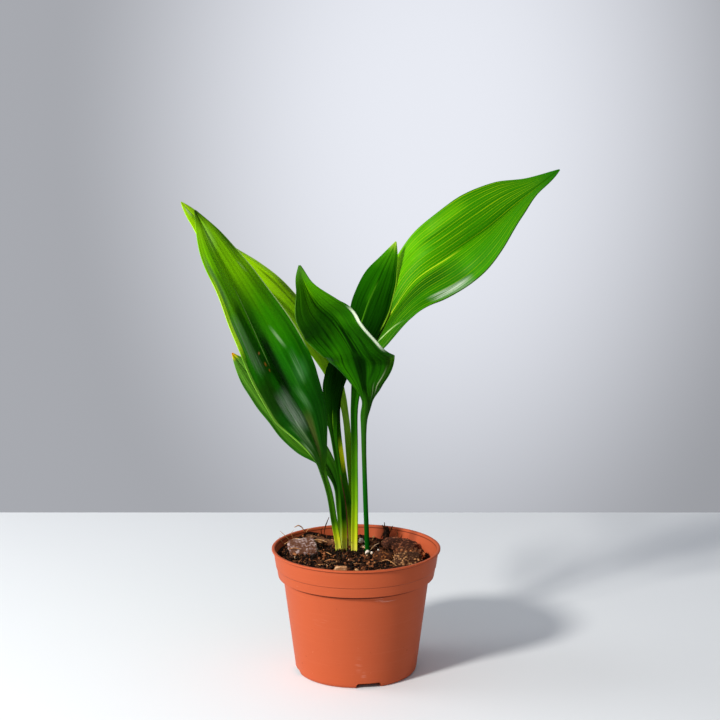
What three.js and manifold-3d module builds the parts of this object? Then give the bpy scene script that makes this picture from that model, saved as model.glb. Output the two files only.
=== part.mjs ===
// A potted cast iron plant: seven strap-shaped leaves that rise from one clump, each a grooved
// stalk and a blade in one piece, in a round plastic nursery pot filled with bark potting mix.
// Millimetres, +Z up. The origin is the centre of the pot's foot, and the front is -Y.
import * as THREE from "three";
import { mergeVertices } from "three/addons/utils/BufferGeometryUtils.js";
import Module from "manifold-3d";

// Pot, heights above the surface it stands on
const POT_HEIGHT = 97.5;
const RIM_RADIUS = 65;
const RIM_INSIDE_RADIUS = 62.6;
const LIP_HEIGHT = 1.6;
const LIP_OVERHANG = 1.4;
const COLLAR_BOTTOM = 75.5; // the collar ends here in a sharp step
const COLLAR_BOTTOM_RADIUS = 60;
const COLLAR_LINE = 83; // a shallow moulded step that runs round the collar
const COLLAR_LINE_DEPTH = 0.4;
const BODY_TOP_RADIUS = 56.3;
const BODY_BOTTOM_RADIUS = 46.9;
const FOOT_RADIUS = 45;
const FOOT_EDGE = 2; // height of the rounded edge of the foot
const FOOT_RING_INSIDE_RADIUS = 36;
const FOOT_DISC_RADIUS = 14; // the flat disc in the middle that also touches the surface
const FOOT_RECESS = 1.5;
const FOOT_BEVEL = 1;
const RIM_EDGE = 0.6;
const WALL = 1.8;
const FLOOR_TOP = 3.2;
const POT_SEGMENTS = 64;

// Drainage notches in the foot
const NOTCH_COUNT = 4;
const NOTCH_WIDTH = 19;
const NOTCH_HEIGHT = 3.4;
const NOTCH_FROM_RADIUS = 38;
const NOTCH_AZIMUTH = -78; // degrees from +X: the first notch is a little right of the front

// Soil: its surface slopes down to the right and rises round the stalks
const GAP = 0.3; // clearance between pieces that rest on each other
const SOIL_LEVEL = 88.6;
const SOIL_SLOPE_X = -0.06;
const SOIL_SLOPE_Y = 0.01;
const SOIL_MOUND = 2;
const SOIL_MOUND_RADIUS = 22;
const SOIL_HEAP = 5; // a heap of soil against the wall at the back left
const SOIL_HEAP_RADIUS = 13;
const SOIL_HEAP_AT = [-40, 50];
const CLUMP = [-4, 17]; // centre of the clump of stalks
const SOIL_ROUGHNESS = 1.1;
const SOIL_CELLS = 28;
const SOIL_SEED = 11;

// Leaves
const STALK_BOTTOM = 66; // the stalks stand 25 mm deep in the soil
const STALK_DEPTH = 1.35; // from front to back, as a multiple of the stalk's half width
const STALK_TURN = 25; // degrees that each side of a stalk turns up round its groove
const BLADE_THICKNESS = 0.8;
const KEEL = 1.3; // extra thickness of the midrib where the blade begins
const BLADE_BOW = 0.1; // height of each half's arch, as a share of its width
const STALK_FADE = 6; // the stalk's section fades out over this much extra half width
const STALK_END = 0.6; // share of the rows beyond which every leaf is all blade
const SHARPEST_FOLD = 0.5; // least share of a half's thickness that counts across the midrib
const STEPS_PER_ROW = 2;
const COLUMNS = 3; // columns of points in each half of a leaf
const HOLE_CLEARANCE = 0.9; // from a stalk's half width to the radius of its hole
const HOLE_SIDES = 12;
const HOLE_TOP = 110;

// Loose pieces
const CHIP_ROUGHNESS = 0.09; // random shift of a chip's corners, as a share of its size
const CHIP_NARROWING = 0.5; // how much a chip narrows to its ends and to its top and bottom
const CHIP_CELL = 5; // length of a chip's faces, with three at most along a side

const COLOURS = {
  pot: { color: 0xd9683c, roughness: 0.5, metalness: 0 },
  soil: { color: 0x2b1c14, roughness: 0.95, metalness: 0 },
  darkLeaf: { color: 0x1d5a12, roughness: 0.35, metalness: 0 },
  brightLeaf: { color: 0x4c9a10, roughness: 0.4, metalness: 0 },
  greyBark: { color: 0x6f5c55, roughness: 0.85, metalness: 0 },
  brownBark: { color: 0x6a3f26, roughness: 0.9, metalness: 0 },
  darkBark: { color: 0x2b1c14, roughness: 0.95, metalness: 0 },
  paleBark: { color: 0xc98c58, roughness: 0.85, metalness: 0 },
};

// Each leaf has the half width of its stalk, and rows from the stalk's foot to the tip. A row is
// a point of the midrib, x, y, z, and on the blade also the half width, and how many degrees the
// left and the right half turn from the plane across the view towards the front.
const LEAVES = {
  leaf_front_left: {
    colour: "darkLeaf",
    stalk: 2.2,
    rows: [
      [-13.5, 12.5, 66],
      [-13.5, 12, 91],
      [-17, 9, 115],
      [-20.5, 5, 138],
      [-25.5, 0, 158, 2.8, 50, -10],
      [-29, -6, 175, 8.5, 50, -25],
      [-39, -12, 203, 20.5, 32, -27],
      [-52, -18, 226, 27, 48, -18],
      [-64.5, -24, 251, 29, 56, -20],
      [-78, -30, 281, 27, 59, -36],
      [-90.5, -35, 308, 22, 59, -43],
      [-103.5, -38, 335, 14.5, 48, -48],
      [-116, -38, 360, 0.6, 40, -40],
    ],
  },
  leaf_back_left: {
    colour: "brightLeaf",
    stalk: 1.8,
    rows: [
      [-2.5, 26.5, 66],
      [-2.5, 27, 89],
      [-3.5, 29, 127],
      [-5, 31, 151],
      [-7.5, 36, 189, 3.5, 55, -50],
      [-12.5, 43, 210, 7, 62, -60],
      [-26, 51, 238, 16, 72, -56],
      [-43.5, 57, 261, 23, 72, -62],
      [-63, 63, 283, 25, 70, -67],
      [-85, 68, 302, 25, 62, -69],
      [-106, 71, 322, 20, 58, -82],
      [-125, 72, 343, 11, 64, -72],
      [-137.5, 72, 357, 0.6, 50, -60],
    ],
  },
  leaf_low_left: {
    colour: "darkLeaf",
    stalk: 1.8,
    rows: [
      [-13, 21.5, 66],
      [-13, 21.5, 89],
      [-12.5, 22, 105],
      [-13.5, 23, 121],
      [-15.5, 24, 141, 3, 50, -20],
      [-24.5, 27, 158, 9, 66, -40],
      [-40.5, 31, 175, 15, 50, -40],
      [-58.5, 35, 194, 17, 59, -40],
      [-76, 38, 216, 14.5, 54, -45],
      [-87.5, 40, 230, 8.5, 50, -45],
      [-96.5, 40, 242, 0.6, 40, -45],
    ],
  },
  leaf_inner_short: {
    colour: "darkLeaf",
    stalk: 1.8,
    rows: [
      [-9, 16.5, 66],
      [-9, 16.5, 91],
      [-9.7, 18, 122],
      [-12.5, 20, 147],
      [-17.5, 21, 182, 3, 40, 30],
      [-18.5, 22, 204, 8.5, -38, 55],
      [-17, 24, 221, 13.5, -50, 58],
      [-13, 26, 240, 12.5, -60, 50],
      [-8, 28, 256, 8, -50, 50],
      [-5, 30, 270, 0.6, -40, 50],
    ],
  },
  leaf_upright: {
    colour: "darkLeaf",
    stalk: 1.9,
    rows: [
      [-4, 20.5, 66],
      [-4, 20.5, 90],
      [-5.2, 23, 121],
      [-10.5, 26, 155],
      [-14.5, 28, 193],
      [-14.3, 28, 217, 5.2, -35, 35],
      [-9, 29.5, 238, 9.8, -30, 30],
      [3, 32, 261, 14.3, -39, 16],
      [10.7, 36, 282, 16.9, -38, -5],
      [19.2, 42, 301, 13.6, -25, -12],
      [26.2, 47, 316, 7, -25, -12],
      [31, 50.5, 328, 0.6, -25, -12],
    ],
  },
  leaf_right: {
    colour: "brightLeaf",
    stalk: 2.3,
    rows: [
      [-1.5, 13.5, 66],
      [-1.4, 14.3, 91],
      [-1, 16.5, 130],
      [-1.2, 18, 170],
      [-1, 20, 207, 3, 30, 50],
      [6, 26, 236, 9, -50, 60],
      [17, 33, 256, 17, -54, 62],
      [30, 38, 278, 24.5, -52, 58],
      [46, 41, 300, 29.5, -46, 40],
      [72.5, 43, 319, 31.5, -10, 35],
      [100, 44, 338, 32.5, -10, 59],
      [121.5, 44, 356, 25, -24, 74],
      [138.5, 44, 370, 12, -40, 79],
      [156, 44, 384, 0.6, -40, 60],
    ],
  },
  leaf_front_wavy: {
    colour: "darkLeaf",
    stalk: 1.7,
    ribInFront: true, // the underside faces the front
    rows: [
      [9, 12, 66],
      [8.7, 11.5, 90],
      [7.2, 4, 133],
      [6, -4, 175],
      [6, -9, 199, 2.6, -30, -30],
      [7.5, -13, 212, 6.6, -66, -44],
      [5.7, -17, 227.5, 15, -43, 17],
      [2.7, -23, 242.5, 27, -37, -2],
      [-2.3, -31, 257.5, 24, -18, 34],
      [-15.6, -40, 279.5, 26, -4, 50],
      [-28, -52, 293.5, 20.5, 16, 38],
      [-36.4, -58, 309.5, 8.7, 32, 44],
      [-40, -62, 323, 0.8, -20, 30],
    ],
  },
};

// Loose pieces on the soil: where the centre lies, its height above the soil there, the size
// along, across and through, and the turn about Z and the tilts about X and Y, in degrees.
const CHIPS = {
  bark_left: {
    at: [-41.5, 10],
    lift: 2.6,
    size: [20, 17, 5],
    turn: [28, -4, 8],
    colour: "greyBark",
    seed: 3,
  },
  bark_back_right: {
    at: [35, 31],
    lift: 1.8,
    size: [24, 12, 8],
    turn: [10, 6, -20],
    colour: "brownBark",
    seed: 5,
  },
  bark_ribbed_right: {
    at: [42, 12.5],
    lift: 1.8,
    size: [19, 10, 7],
    turn: [6, 4, -12],
    colour: "brownBark",
    seed: 7,
  },
  bark_front_right: {
    at: [39.5, -8],
    lift: 2.2,
    size: [18, 15, 9],
    turn: [12, -6, 4],
    colour: "brownBark",
    seed: 9,
  },
  bark_small: {
    at: [21, 1],
    lift: 1.2,
    size: [12, 9, 5],
    turn: [8, 5, -10],
    colour: "brownBark",
    seed: 13,
  },
  twig: {
    at: [-27.5, 35],
    lift: 1.4,
    size: [29, 3.4, 3],
    turn: [2, 3, -36],
    colour: "brownBark",
    seed: 17,
  },
  splinter: {
    at: [24, 50],
    lift: 4.5,
    size: [3, 5, 13],
    turn: [-6, 8, 20],
    colour: "darkBark",
    seed: 19,
  },
  chip_at_rim: {
    at: [-11.3, -50],
    lift: 2.6,
    size: [9, 2.6, 12],
    turn: [14, 0, 6],
    colour: "paleBark",
    seed: 23,
  },
};

const FRONT = new THREE.Vector3(0, -1, 0);

const wasm = await Module();
wasm.setup();

// A repeatable random number from 0 to 1
function randomFrom(seed) {
  let state = seed;
  return () => {
    state = (state * 16807) % 2147483647;
    return state / 2147483647;
  };
}

function toSolid(geometry) {
  const bare = geometry.clone();
  bare.deleteAttribute("normal");
  bare.deleteAttribute("uv");
  const merged = mergeVertices(bare, 1e-4);
  return new wasm.Manifold(
    new wasm.Mesh({
      numProp: 3,
      vertProperties: new Float32Array(merged.attributes.position.array),
      triVerts: new Uint32Array(merged.index.array),
    }),
  );
}

function toGeometry(solid) {
  const mesh = solid.getMesh();
  const geometry = new THREE.BufferGeometry();
  geometry.setAttribute("position", new THREE.BufferAttribute(mesh.vertProperties, 3));
  geometry.setIndex(new THREE.BufferAttribute(mesh.triVerts, 1));
  geometry.computeVertexNormals();
  return geometry;
}

function turned(points) {
  const profile = points.map(([radius, height]) => new THREE.Vector2(radius, height));
  return new THREE.LatheGeometry(profile, POT_SEGMENTS).rotateX(Math.PI / 2);
}

// The pot's inner wall from the floor up, as [radius, height], moved inwards by a clearance
function innerWall(clearance) {
  return [
    [BODY_BOTTOM_RADIUS - WALL - clearance, FLOOR_TOP + clearance],
    [BODY_TOP_RADIUS - WALL - clearance, COLLAR_BOTTOM + WALL + clearance],
    [COLLAR_BOTTOM_RADIUS - WALL - clearance, COLLAR_BOTTOM + WALL + clearance],
    [RIM_INSIDE_RADIUS - clearance, POT_HEIGHT],
  ];
}

function potSolid() {
  const collarTop = RIM_RADIUS - LIP_OVERHANG;
  const lipBottom = POT_HEIGHT - LIP_HEIGHT;
  const slope = (collarTop - COLLAR_BOTTOM_RADIUS) / (lipBottom - COLLAR_BOTTOM);
  const lineRadius = COLLAR_BOTTOM_RADIUS + slope * (COLLAR_LINE - COLLAR_BOTTOM);
  const outside = [
    [0, 0],
    [FOOT_DISC_RADIUS, 0],
    [FOOT_DISC_RADIUS + FOOT_BEVEL, FOOT_RECESS],
    [FOOT_RING_INSIDE_RADIUS - FOOT_BEVEL, FOOT_RECESS],
    [FOOT_RING_INSIDE_RADIUS, 0],
    [FOOT_RADIUS, 0],
    [THREE.MathUtils.lerp(FOOT_RADIUS, BODY_BOTTOM_RADIUS, 0.7), FOOT_EDGE * 0.4],
    [BODY_BOTTOM_RADIUS, FOOT_EDGE],
    [BODY_TOP_RADIUS, COLLAR_BOTTOM],
    [COLLAR_BOTTOM_RADIUS, COLLAR_BOTTOM],
    [lineRadius, COLLAR_LINE],
    [lineRadius + COLLAR_LINE_DEPTH, COLLAR_LINE + COLLAR_LINE_DEPTH],
    [collarTop, lipBottom],
    [RIM_RADIUS, lipBottom + LIP_OVERHANG / 2],
    [RIM_RADIUS, POT_HEIGHT - RIM_EDGE],
    [RIM_RADIUS - RIM_EDGE, POT_HEIGHT],
  ];
  const inside = innerWall(0).reverse();
  let pot = toSolid(turned([...outside, ...inside, [0, FLOOR_TOP]]));

  const notchLength = BODY_BOTTOM_RADIUS + 5 - NOTCH_FROM_RADIUS;
  for (let i = 0; i < NOTCH_COUNT; i++) {
    const azimuth = THREE.MathUtils.degToRad(NOTCH_AZIMUTH + (360 / NOTCH_COUNT) * i);
    const notch = new THREE.BoxGeometry(notchLength, NOTCH_WIDTH, 2 * NOTCH_HEIGHT)
      .translate(NOTCH_FROM_RADIUS + notchLength / 2, 0, 0)
      .rotateZ(azimuth);
    pot = pot.subtract(toSolid(notch));
  }
  return pot;
}

function soilHeight(x, y) {
  const fromClump = Math.hypot(x - CLUMP[0], y - CLUMP[1]);
  const mound = SOIL_MOUND * Math.exp(-((fromClump / SOIL_MOUND_RADIUS) ** 2));
  const fromHeap = Math.hypot(x - SOIL_HEAP_AT[0], y - SOIL_HEAP_AT[1]);
  const heap = SOIL_HEAP * Math.exp(-((fromHeap / SOIL_HEAP_RADIUS) ** 2));
  return SOIL_LEVEL + SOIL_SLOPE_X * x + SOIL_SLOPE_Y * y + mound + heap;
}

// The groove of a stalk faces the front, or the back where the leaf shows its underside
function grooveSide(leaf) {
  return leaf.ribInFront ? -1 : 1;
}

// A straight hole round the buried end of a stalk
function stalkHole(leaf) {
  const [bottom, surface] = leaf.rows.slice(0, 2).map((row) => new THREE.Vector3(...row));
  const middle = new THREE.Vector3(0, (grooveSide(leaf) * leaf.stalk) / 2, 0);
  const radius = leaf.stalk + HOLE_CLEARANCE;
  const along = surface.clone().sub(bottom);
  const length = HOLE_TOP - STALK_BOTTOM;
  const hole = new THREE.CylinderGeometry(radius, radius, length, HOLE_SIDES);
  hole.translate(0, length / 2 - GAP, 0);
  hole.applyQuaternion(
    new THREE.Quaternion().setFromUnitVectors(new THREE.Vector3(0, 1, 0), along.normalize()),
  );
  return toSolid(hole.translate(...bottom.add(middle).toArray()));
}

// A block with a rough top, cut to the inside of the pot, with holes for the stalks and seats
// for the loose pieces
function soilSolid() {
  const random = randomFrom(SOIL_SEED);
  const side = 2 * RIM_RADIUS;
  const block = new THREE.BoxGeometry(side, side, POT_HEIGHT, SOIL_CELLS, SOIL_CELLS, 1);
  block.deleteAttribute("normal");
  block.deleteAttribute("uv");
  const rough = mergeVertices(block.translate(0, 0, POT_HEIGHT / 2));
  const position = rough.attributes.position;
  for (let i = 0; i < position.count; i++) {
    if (position.getZ(i) < POT_HEIGHT / 2) continue;
    const crumb = SOIL_ROUGHNESS * (2 * random() - 1);
    position.setZ(i, soilHeight(position.getX(i), position.getY(i)) + crumb);
  }
  const bowl = [[0, FLOOR_TOP + GAP], ...innerWall(GAP), [0, POT_HEIGHT]];
  let soil = toSolid(rough).intersect(toSolid(turned(bowl)));
  for (const leaf of Object.values(LEAVES)) soil = soil.subtract(stalkHole(leaf));
  for (const chip of Object.values(CHIPS)) soil = soil.subtract(toSolid(chipGeometry(chip, GAP)));
  return soil;
}

// A rough block of bark with narrower ends, made larger all round by a margin
function chipGeometry({ at, lift, size, turn, seed }, margin) {
  const random = randomFrom(seed);
  const cells = size.map((length) => Math.round(THREE.MathUtils.clamp(length / CHIP_CELL, 1, 3)));
  const block = new THREE.BoxGeometry(1, 1, 1, ...cells);
  block.deleteAttribute("normal");
  block.deleteAttribute("uv");
  const chip = mergeVertices(block);
  const position = chip.attributes.position;
  const point = new THREE.Vector3();
  for (let i = 0; i < position.count; i++) {
    point.fromBufferAttribute(position, i);
    const narrowing = 1 - CHIP_NARROWING * (point.x ** 2 + point.z ** 2);
    const shift = size.map((length) => CHIP_ROUGHNESS * length * (2 * random() - 1));
    position.setXYZ(
      i,
      point.x * (size[0] + 2 * margin) + shift[0],
      point.y * (size[1] * narrowing + 2 * margin) + shift[1],
      point.z * (size[2] + 2 * margin) + shift[2],
    );
  }
  const [tiltX, tiltY, turnZ] = turn.map(THREE.MathUtils.degToRad);
  const euler = new THREE.Euler(tiltX, tiltY, turnZ, "ZYX");
  chip.applyMatrix4(new THREE.Matrix4().makeRotationFromEuler(euler));
  return chip.translate(at[0], at[1], soilHeight(...at) + lift);
}

// The front and back points of a leaf's section at a share t of its length
function leafSection(leaf, rib, form, t) {
  const along = rib.getTangent(t);
  const across = along.clone().cross(FRONT).normalize();
  const outwards = across.clone().cross(along).normalize();
  const [halfWidth, ...turns] = form.getPoint(t).toArray();
  const [left, right] = turns.map(THREE.MathUtils.degToRad);
  const widened = THREE.MathUtils.clamp((halfWidth - leaf.stalk) / STALK_FADE, 0, 1);
  const stalk = t < STALK_END ? 1 - widened : 0;
  const stalkDepth = STALK_DEPTH * leaf.stalk;
  const centre = rib.getPoint(t);
  const halfNormal = (side, turn) =>
    outwards
      .clone()
      .multiplyScalar(Math.cos(turn))
      .addScaledVector(across, -side * Math.sin(turn));
  const ribNormal = halfNormal(-1, left).add(halfNormal(1, right)).multiplyScalar(0.5);
  const fold = Math.max(ribNormal.length(), SHARPEST_FOLD);
  ribNormal.normalize();

  const front = [];
  const back = [];
  for (let column = -COLUMNS; column <= COLUMNS; column++) {
    const side = column < 0 ? -1 : 1;
    const turn = column < 0 ? left : right;
    const share = Math.abs(column) / COLUMNS;
    const point = centre
      .clone()
      .addScaledVector(across, side * share * halfWidth * Math.cos(turn))
      .addScaledVector(outwards, share * halfWidth * Math.sin(turn));
    const normal = column === 0 ? ribNormal : halfNormal(side, turn);
    const bow = BLADE_BOW * (1 - stalk) * halfWidth * Math.sin(Math.PI * share);
    point.addScaledVector(normal, bow);
    let thickness = BLADE_THICKNESS;
    thickness += stalk * (stalkDepth - BLADE_THICKNESS) * Math.sqrt(1 - share ** 2);
    if (column === 0) thickness = (thickness + (1 - stalk) * KEEL * (1 - t)) / fold;
    const below = point.clone().addScaledVector(normal, -grooveSide(leaf) * thickness);
    front.push(leaf.ribInFront ? below : point);
    back.push(leaf.ribInFront ? point : below);
  }
  return { front, back };
}

// One closed skin: the sections joined by faces that are split alike on the front and the back
function leafGeometry(leaf) {
  const stalkTurn = grooveSide(leaf) * STALK_TURN;
  const stalk = [leaf.stalk, stalkTurn, stalkTurn];
  const points = leaf.rows.map((row) => new THREE.Vector3(...row.slice(0, 3)));
  const forms = leaf.rows.map((row) => new THREE.Vector3(...(row.length > 3 ? row.slice(3) : stalk)));
  const rib = new THREE.CatmullRomCurve3(points, false, "catmullrom", 0.5);
  const form = new THREE.CatmullRomCurve3(forms, false, "catmullrom", 0.5);
  const steps = STEPS_PER_ROW * (leaf.rows.length - 1);
  const width = 2 * COLUMNS + 1;
  const positions = [];
  const faces = [];
  const quad = (a, b, c, d) => faces.push(a, b, c, a, c, d);

  for (let step = 0; step <= steps; step++) {
    const { front, back } = leafSection(leaf, rib, form, step / steps);
    [...front, ...back].forEach((point) => positions.push(...point.toArray()));
  }
  const frontAt = (step, column) => step * 2 * width + column;
  const backAt = (step, column) => frontAt(step, column) + width;
  const last = width - 1;
  for (let step = 0; step < steps; step++) {
    const next = step + 1;
    for (let column = 0; column < last; column++) {
      const [a, b] = [frontAt(step, column), frontAt(step, column + 1)];
      const [c, d] = [frontAt(next, column + 1), frontAt(next, column)];
      faces.push(a, b, c, a, c, d);
      faces.push(a + width, c + width, b + width, a + width, d + width, c + width);
    }
    quad(frontAt(step, 0), frontAt(next, 0), backAt(next, 0), backAt(step, 0));
    quad(frontAt(step, last), backAt(step, last), backAt(next, last), frontAt(next, last));
  }
  for (let column = 0; column < last; column++) {
    quad(frontAt(0, column), backAt(0, column), backAt(0, column + 1), frontAt(0, column + 1));
    quad(
      frontAt(steps, column),
      frontAt(steps, column + 1),
      backAt(steps, column + 1),
      backAt(steps, column),
    );
  }
  const geometry = new THREE.BufferGeometry();
  geometry.setAttribute("position", new THREE.Float32BufferAttribute(positions, 3));
  geometry.setIndex(faces);
  geometry.computeVertexNormals();
  return geometry;
}

function piece(name, geometry, colour) {
  const mesh = new THREE.Mesh(geometry, new THREE.MeshStandardMaterial(COLOURS[colour]));
  mesh.name = name;
  return mesh;
}

const plant = new THREE.Group();
plant.name = "potted_cast_iron_plant";
plant.add(piece("pot", toGeometry(potSolid()), "pot"));
plant.add(piece("soil", toGeometry(soilSolid()), "soil"));
for (const [name, leaf] of Object.entries(LEAVES)) {
  plant.add(piece(name, leafGeometry(leaf), leaf.colour));
}
for (const [name, chip] of Object.entries(CHIPS)) {
  plant.add(piece(name, chipGeometry(chip, 0), chip.colour));
}

export default plant;
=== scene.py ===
"""Dresses the potted cast iron plant: leaves with veins and pleats, bark potting mix, pot and stage."""
import math
import random

import bmesh
import bpy
import numpy as np
from mathutils import Euler, Matrix, Vector, noise


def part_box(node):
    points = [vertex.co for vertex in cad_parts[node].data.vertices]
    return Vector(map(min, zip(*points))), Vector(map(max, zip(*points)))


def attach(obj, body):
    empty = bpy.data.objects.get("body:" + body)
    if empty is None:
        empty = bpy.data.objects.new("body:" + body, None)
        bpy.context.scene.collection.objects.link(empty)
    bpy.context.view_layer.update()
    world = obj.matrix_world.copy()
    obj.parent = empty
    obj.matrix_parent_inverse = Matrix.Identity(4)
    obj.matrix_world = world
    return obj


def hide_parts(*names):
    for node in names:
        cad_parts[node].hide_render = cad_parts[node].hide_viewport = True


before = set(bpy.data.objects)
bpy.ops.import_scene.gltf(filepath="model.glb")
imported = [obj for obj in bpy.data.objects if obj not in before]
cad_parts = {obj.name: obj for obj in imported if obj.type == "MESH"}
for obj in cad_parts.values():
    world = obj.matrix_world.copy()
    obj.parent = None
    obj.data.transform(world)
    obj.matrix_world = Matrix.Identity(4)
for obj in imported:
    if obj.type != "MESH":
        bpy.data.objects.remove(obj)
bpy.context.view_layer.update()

bl_info = {
    "name": "Potted Cast Iron Plant",
    "version": (1, 0, 0),
    "blender": (4, 5, 0),
    "location": "View3D > Sidebar > Plant",
    "description": "Builds the leaves, potting mix, pot and studio stage of a potted cast iron plant",
    "category": "Add Mesh",
}

MM = 0.001
FRONT = np.array([0.0, -1.0, 0.0])
POT_LOW, POT_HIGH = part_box("pot")

# Each leaf has the half width of its stalk and rows from the stalk's foot to the tip, in
# millimetres: a point of the midrib, and on the blade also the half width and the degrees that
# its left and right halves turn to the front. A leaf with its rib in front shows its underside.
LEAVES = {
    "leaf_front_left": {
        "stalk": 2.2,
        "rows": [
            (-13.5, 12.5, 66), (-13.5, 12, 91), (-17, 9, 115), (-20.5, 5, 138),
            (-25.5, 0, 158, 2.8, 50, -10),
            (-29, -6, 175, 8.5, 50, -25),
            (-39, -12, 203, 20.5, 32, -27),
            (-52, -18, 226, 27, 48, -18),
            (-64.5, -24, 251, 29, 56, -20),
            (-78, -30, 281, 27, 59, -36),
            (-90.5, -35, 308, 22, 59, -43),
            (-103.5, -38, 335, 14.5, 48, -48),
            (-116, -38, 360, 0.6, 40, -40),
        ],
    },
    "leaf_back_left": {
        "stalk": 1.8,
        "rows": [
            (-2.5, 26.5, 66), (-2.5, 27, 89), (-3.5, 29, 127), (-5, 31, 151),
            (-7.5, 36, 189, 3.5, 55, -50),
            (-12.5, 43, 210, 7, 62, -60),
            (-26, 51, 238, 16, 72, -56),
            (-43.5, 57, 261, 23, 72, -62),
            (-63, 63, 283, 25, 70, -67),
            (-85, 68, 302, 25, 62, -69),
            (-106, 71, 322, 20, 58, -82),
            (-125, 72, 343, 11, 64, -72),
            (-137.5, 72, 357, 0.6, 50, -60),
        ],
    },
    "leaf_low_left": {
        "stalk": 1.8,
        "rows": [
            (-13, 21.5, 66), (-13, 21.5, 89), (-12.5, 22, 105), (-13.5, 23, 121),
            (-15.5, 24, 141, 3, 50, -20),
            (-24.5, 27, 158, 9, 66, -40),
            (-40.5, 31, 175, 15, 50, -40),
            (-58.5, 35, 194, 17, 59, -40),
            (-76, 38, 216, 14.5, 54, -45),
            (-87.5, 40, 230, 8.5, 50, -45),
            (-96.5, 40, 242, 0.6, 40, -45),
        ],
    },
    "leaf_inner_short": {
        "stalk": 1.8,
        "rows": [
            (-9, 16.5, 66), (-9, 16.5, 91), (-9.7, 18, 122), (-12.5, 20, 147),
            (-17.5, 21, 182, 3, 40, 30),
            (-18.5, 22, 204, 8.5, -38, 55),
            (-17, 24, 221, 13.5, -50, 58),
            (-13, 26, 240, 12.5, -60, 50),
            (-8, 28, 256, 8, -50, 50),
            (-5, 30, 270, 0.6, -40, 50),
        ],
    },
    "leaf_upright": {
        "stalk": 1.9,
        "rows": [
            (-4, 20.5, 66), (-4, 20.5, 90), (-5.2, 23, 121), (-10.5, 26, 155), (-14.5, 28, 193),
            (-14.3, 28, 217, 5.2, -35, 35),
            (-9, 29.5, 238, 9.8, -30, 30),
            (3, 32, 261, 14.3, -39, 16),
            (10.7, 36, 282, 16.9, -38, -5),
            (19.2, 42, 301, 13.6, -25, -12),
            (26.2, 47, 316, 7, -25, -12),
            (31, 50.5, 328, 0.6, -25, -12),
        ],
    },
    "leaf_right": {
        "stalk": 2.3,
        "rows": [
            (-1.5, 13.5, 66), (-1.4, 14.3, 91), (-1, 16.5, 130), (-1.2, 18, 170),
            (-1, 20, 207, 3, 30, 50),
            (6, 26, 236, 9, -50, 60),
            (17, 33, 256, 17, -54, 62),
            (30, 38, 278, 24.5, -52, 58),
            (46, 41, 300, 29.5, -46, 40),
            (72.5, 43, 319, 31.5, -10, 35),
            (100, 44, 338, 32.5, -10, 59),
            (121.5, 44, 356, 25, -24, 74),
            (138.5, 44, 370, 12, -40, 79),
            (156, 44, 384, 0.6, -40, 60),
        ],
    },
    "leaf_front_wavy": {
        "stalk": 1.7,
        "rib_in_front": True,
        "rows": [
            (9, 12, 66), (8.7, 11.5, 90), (7.2, 4, 133), (6, -4, 175),
            (6, -9, 199, 2.6, -30, -30),
            (7.5, -13, 212, 6.6, -66, -44),
            (5.7, -17, 227.5, 15, -43, 17),
            (2.7, -23, 242.5, 27, -37, -2),
            (-2.3, -31, 257.5, 24, -18, 34),
            (-15.6, -40, 279.5, 26, -4, 50),
            (-28, -52, 293.5, 20.5, 16, 38),
            (-36.4, -58, 309.5, 8.7, 32, 44),
            (-40, -62, 323, 0.8, -20, 30),
        ],
    },
}


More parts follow.
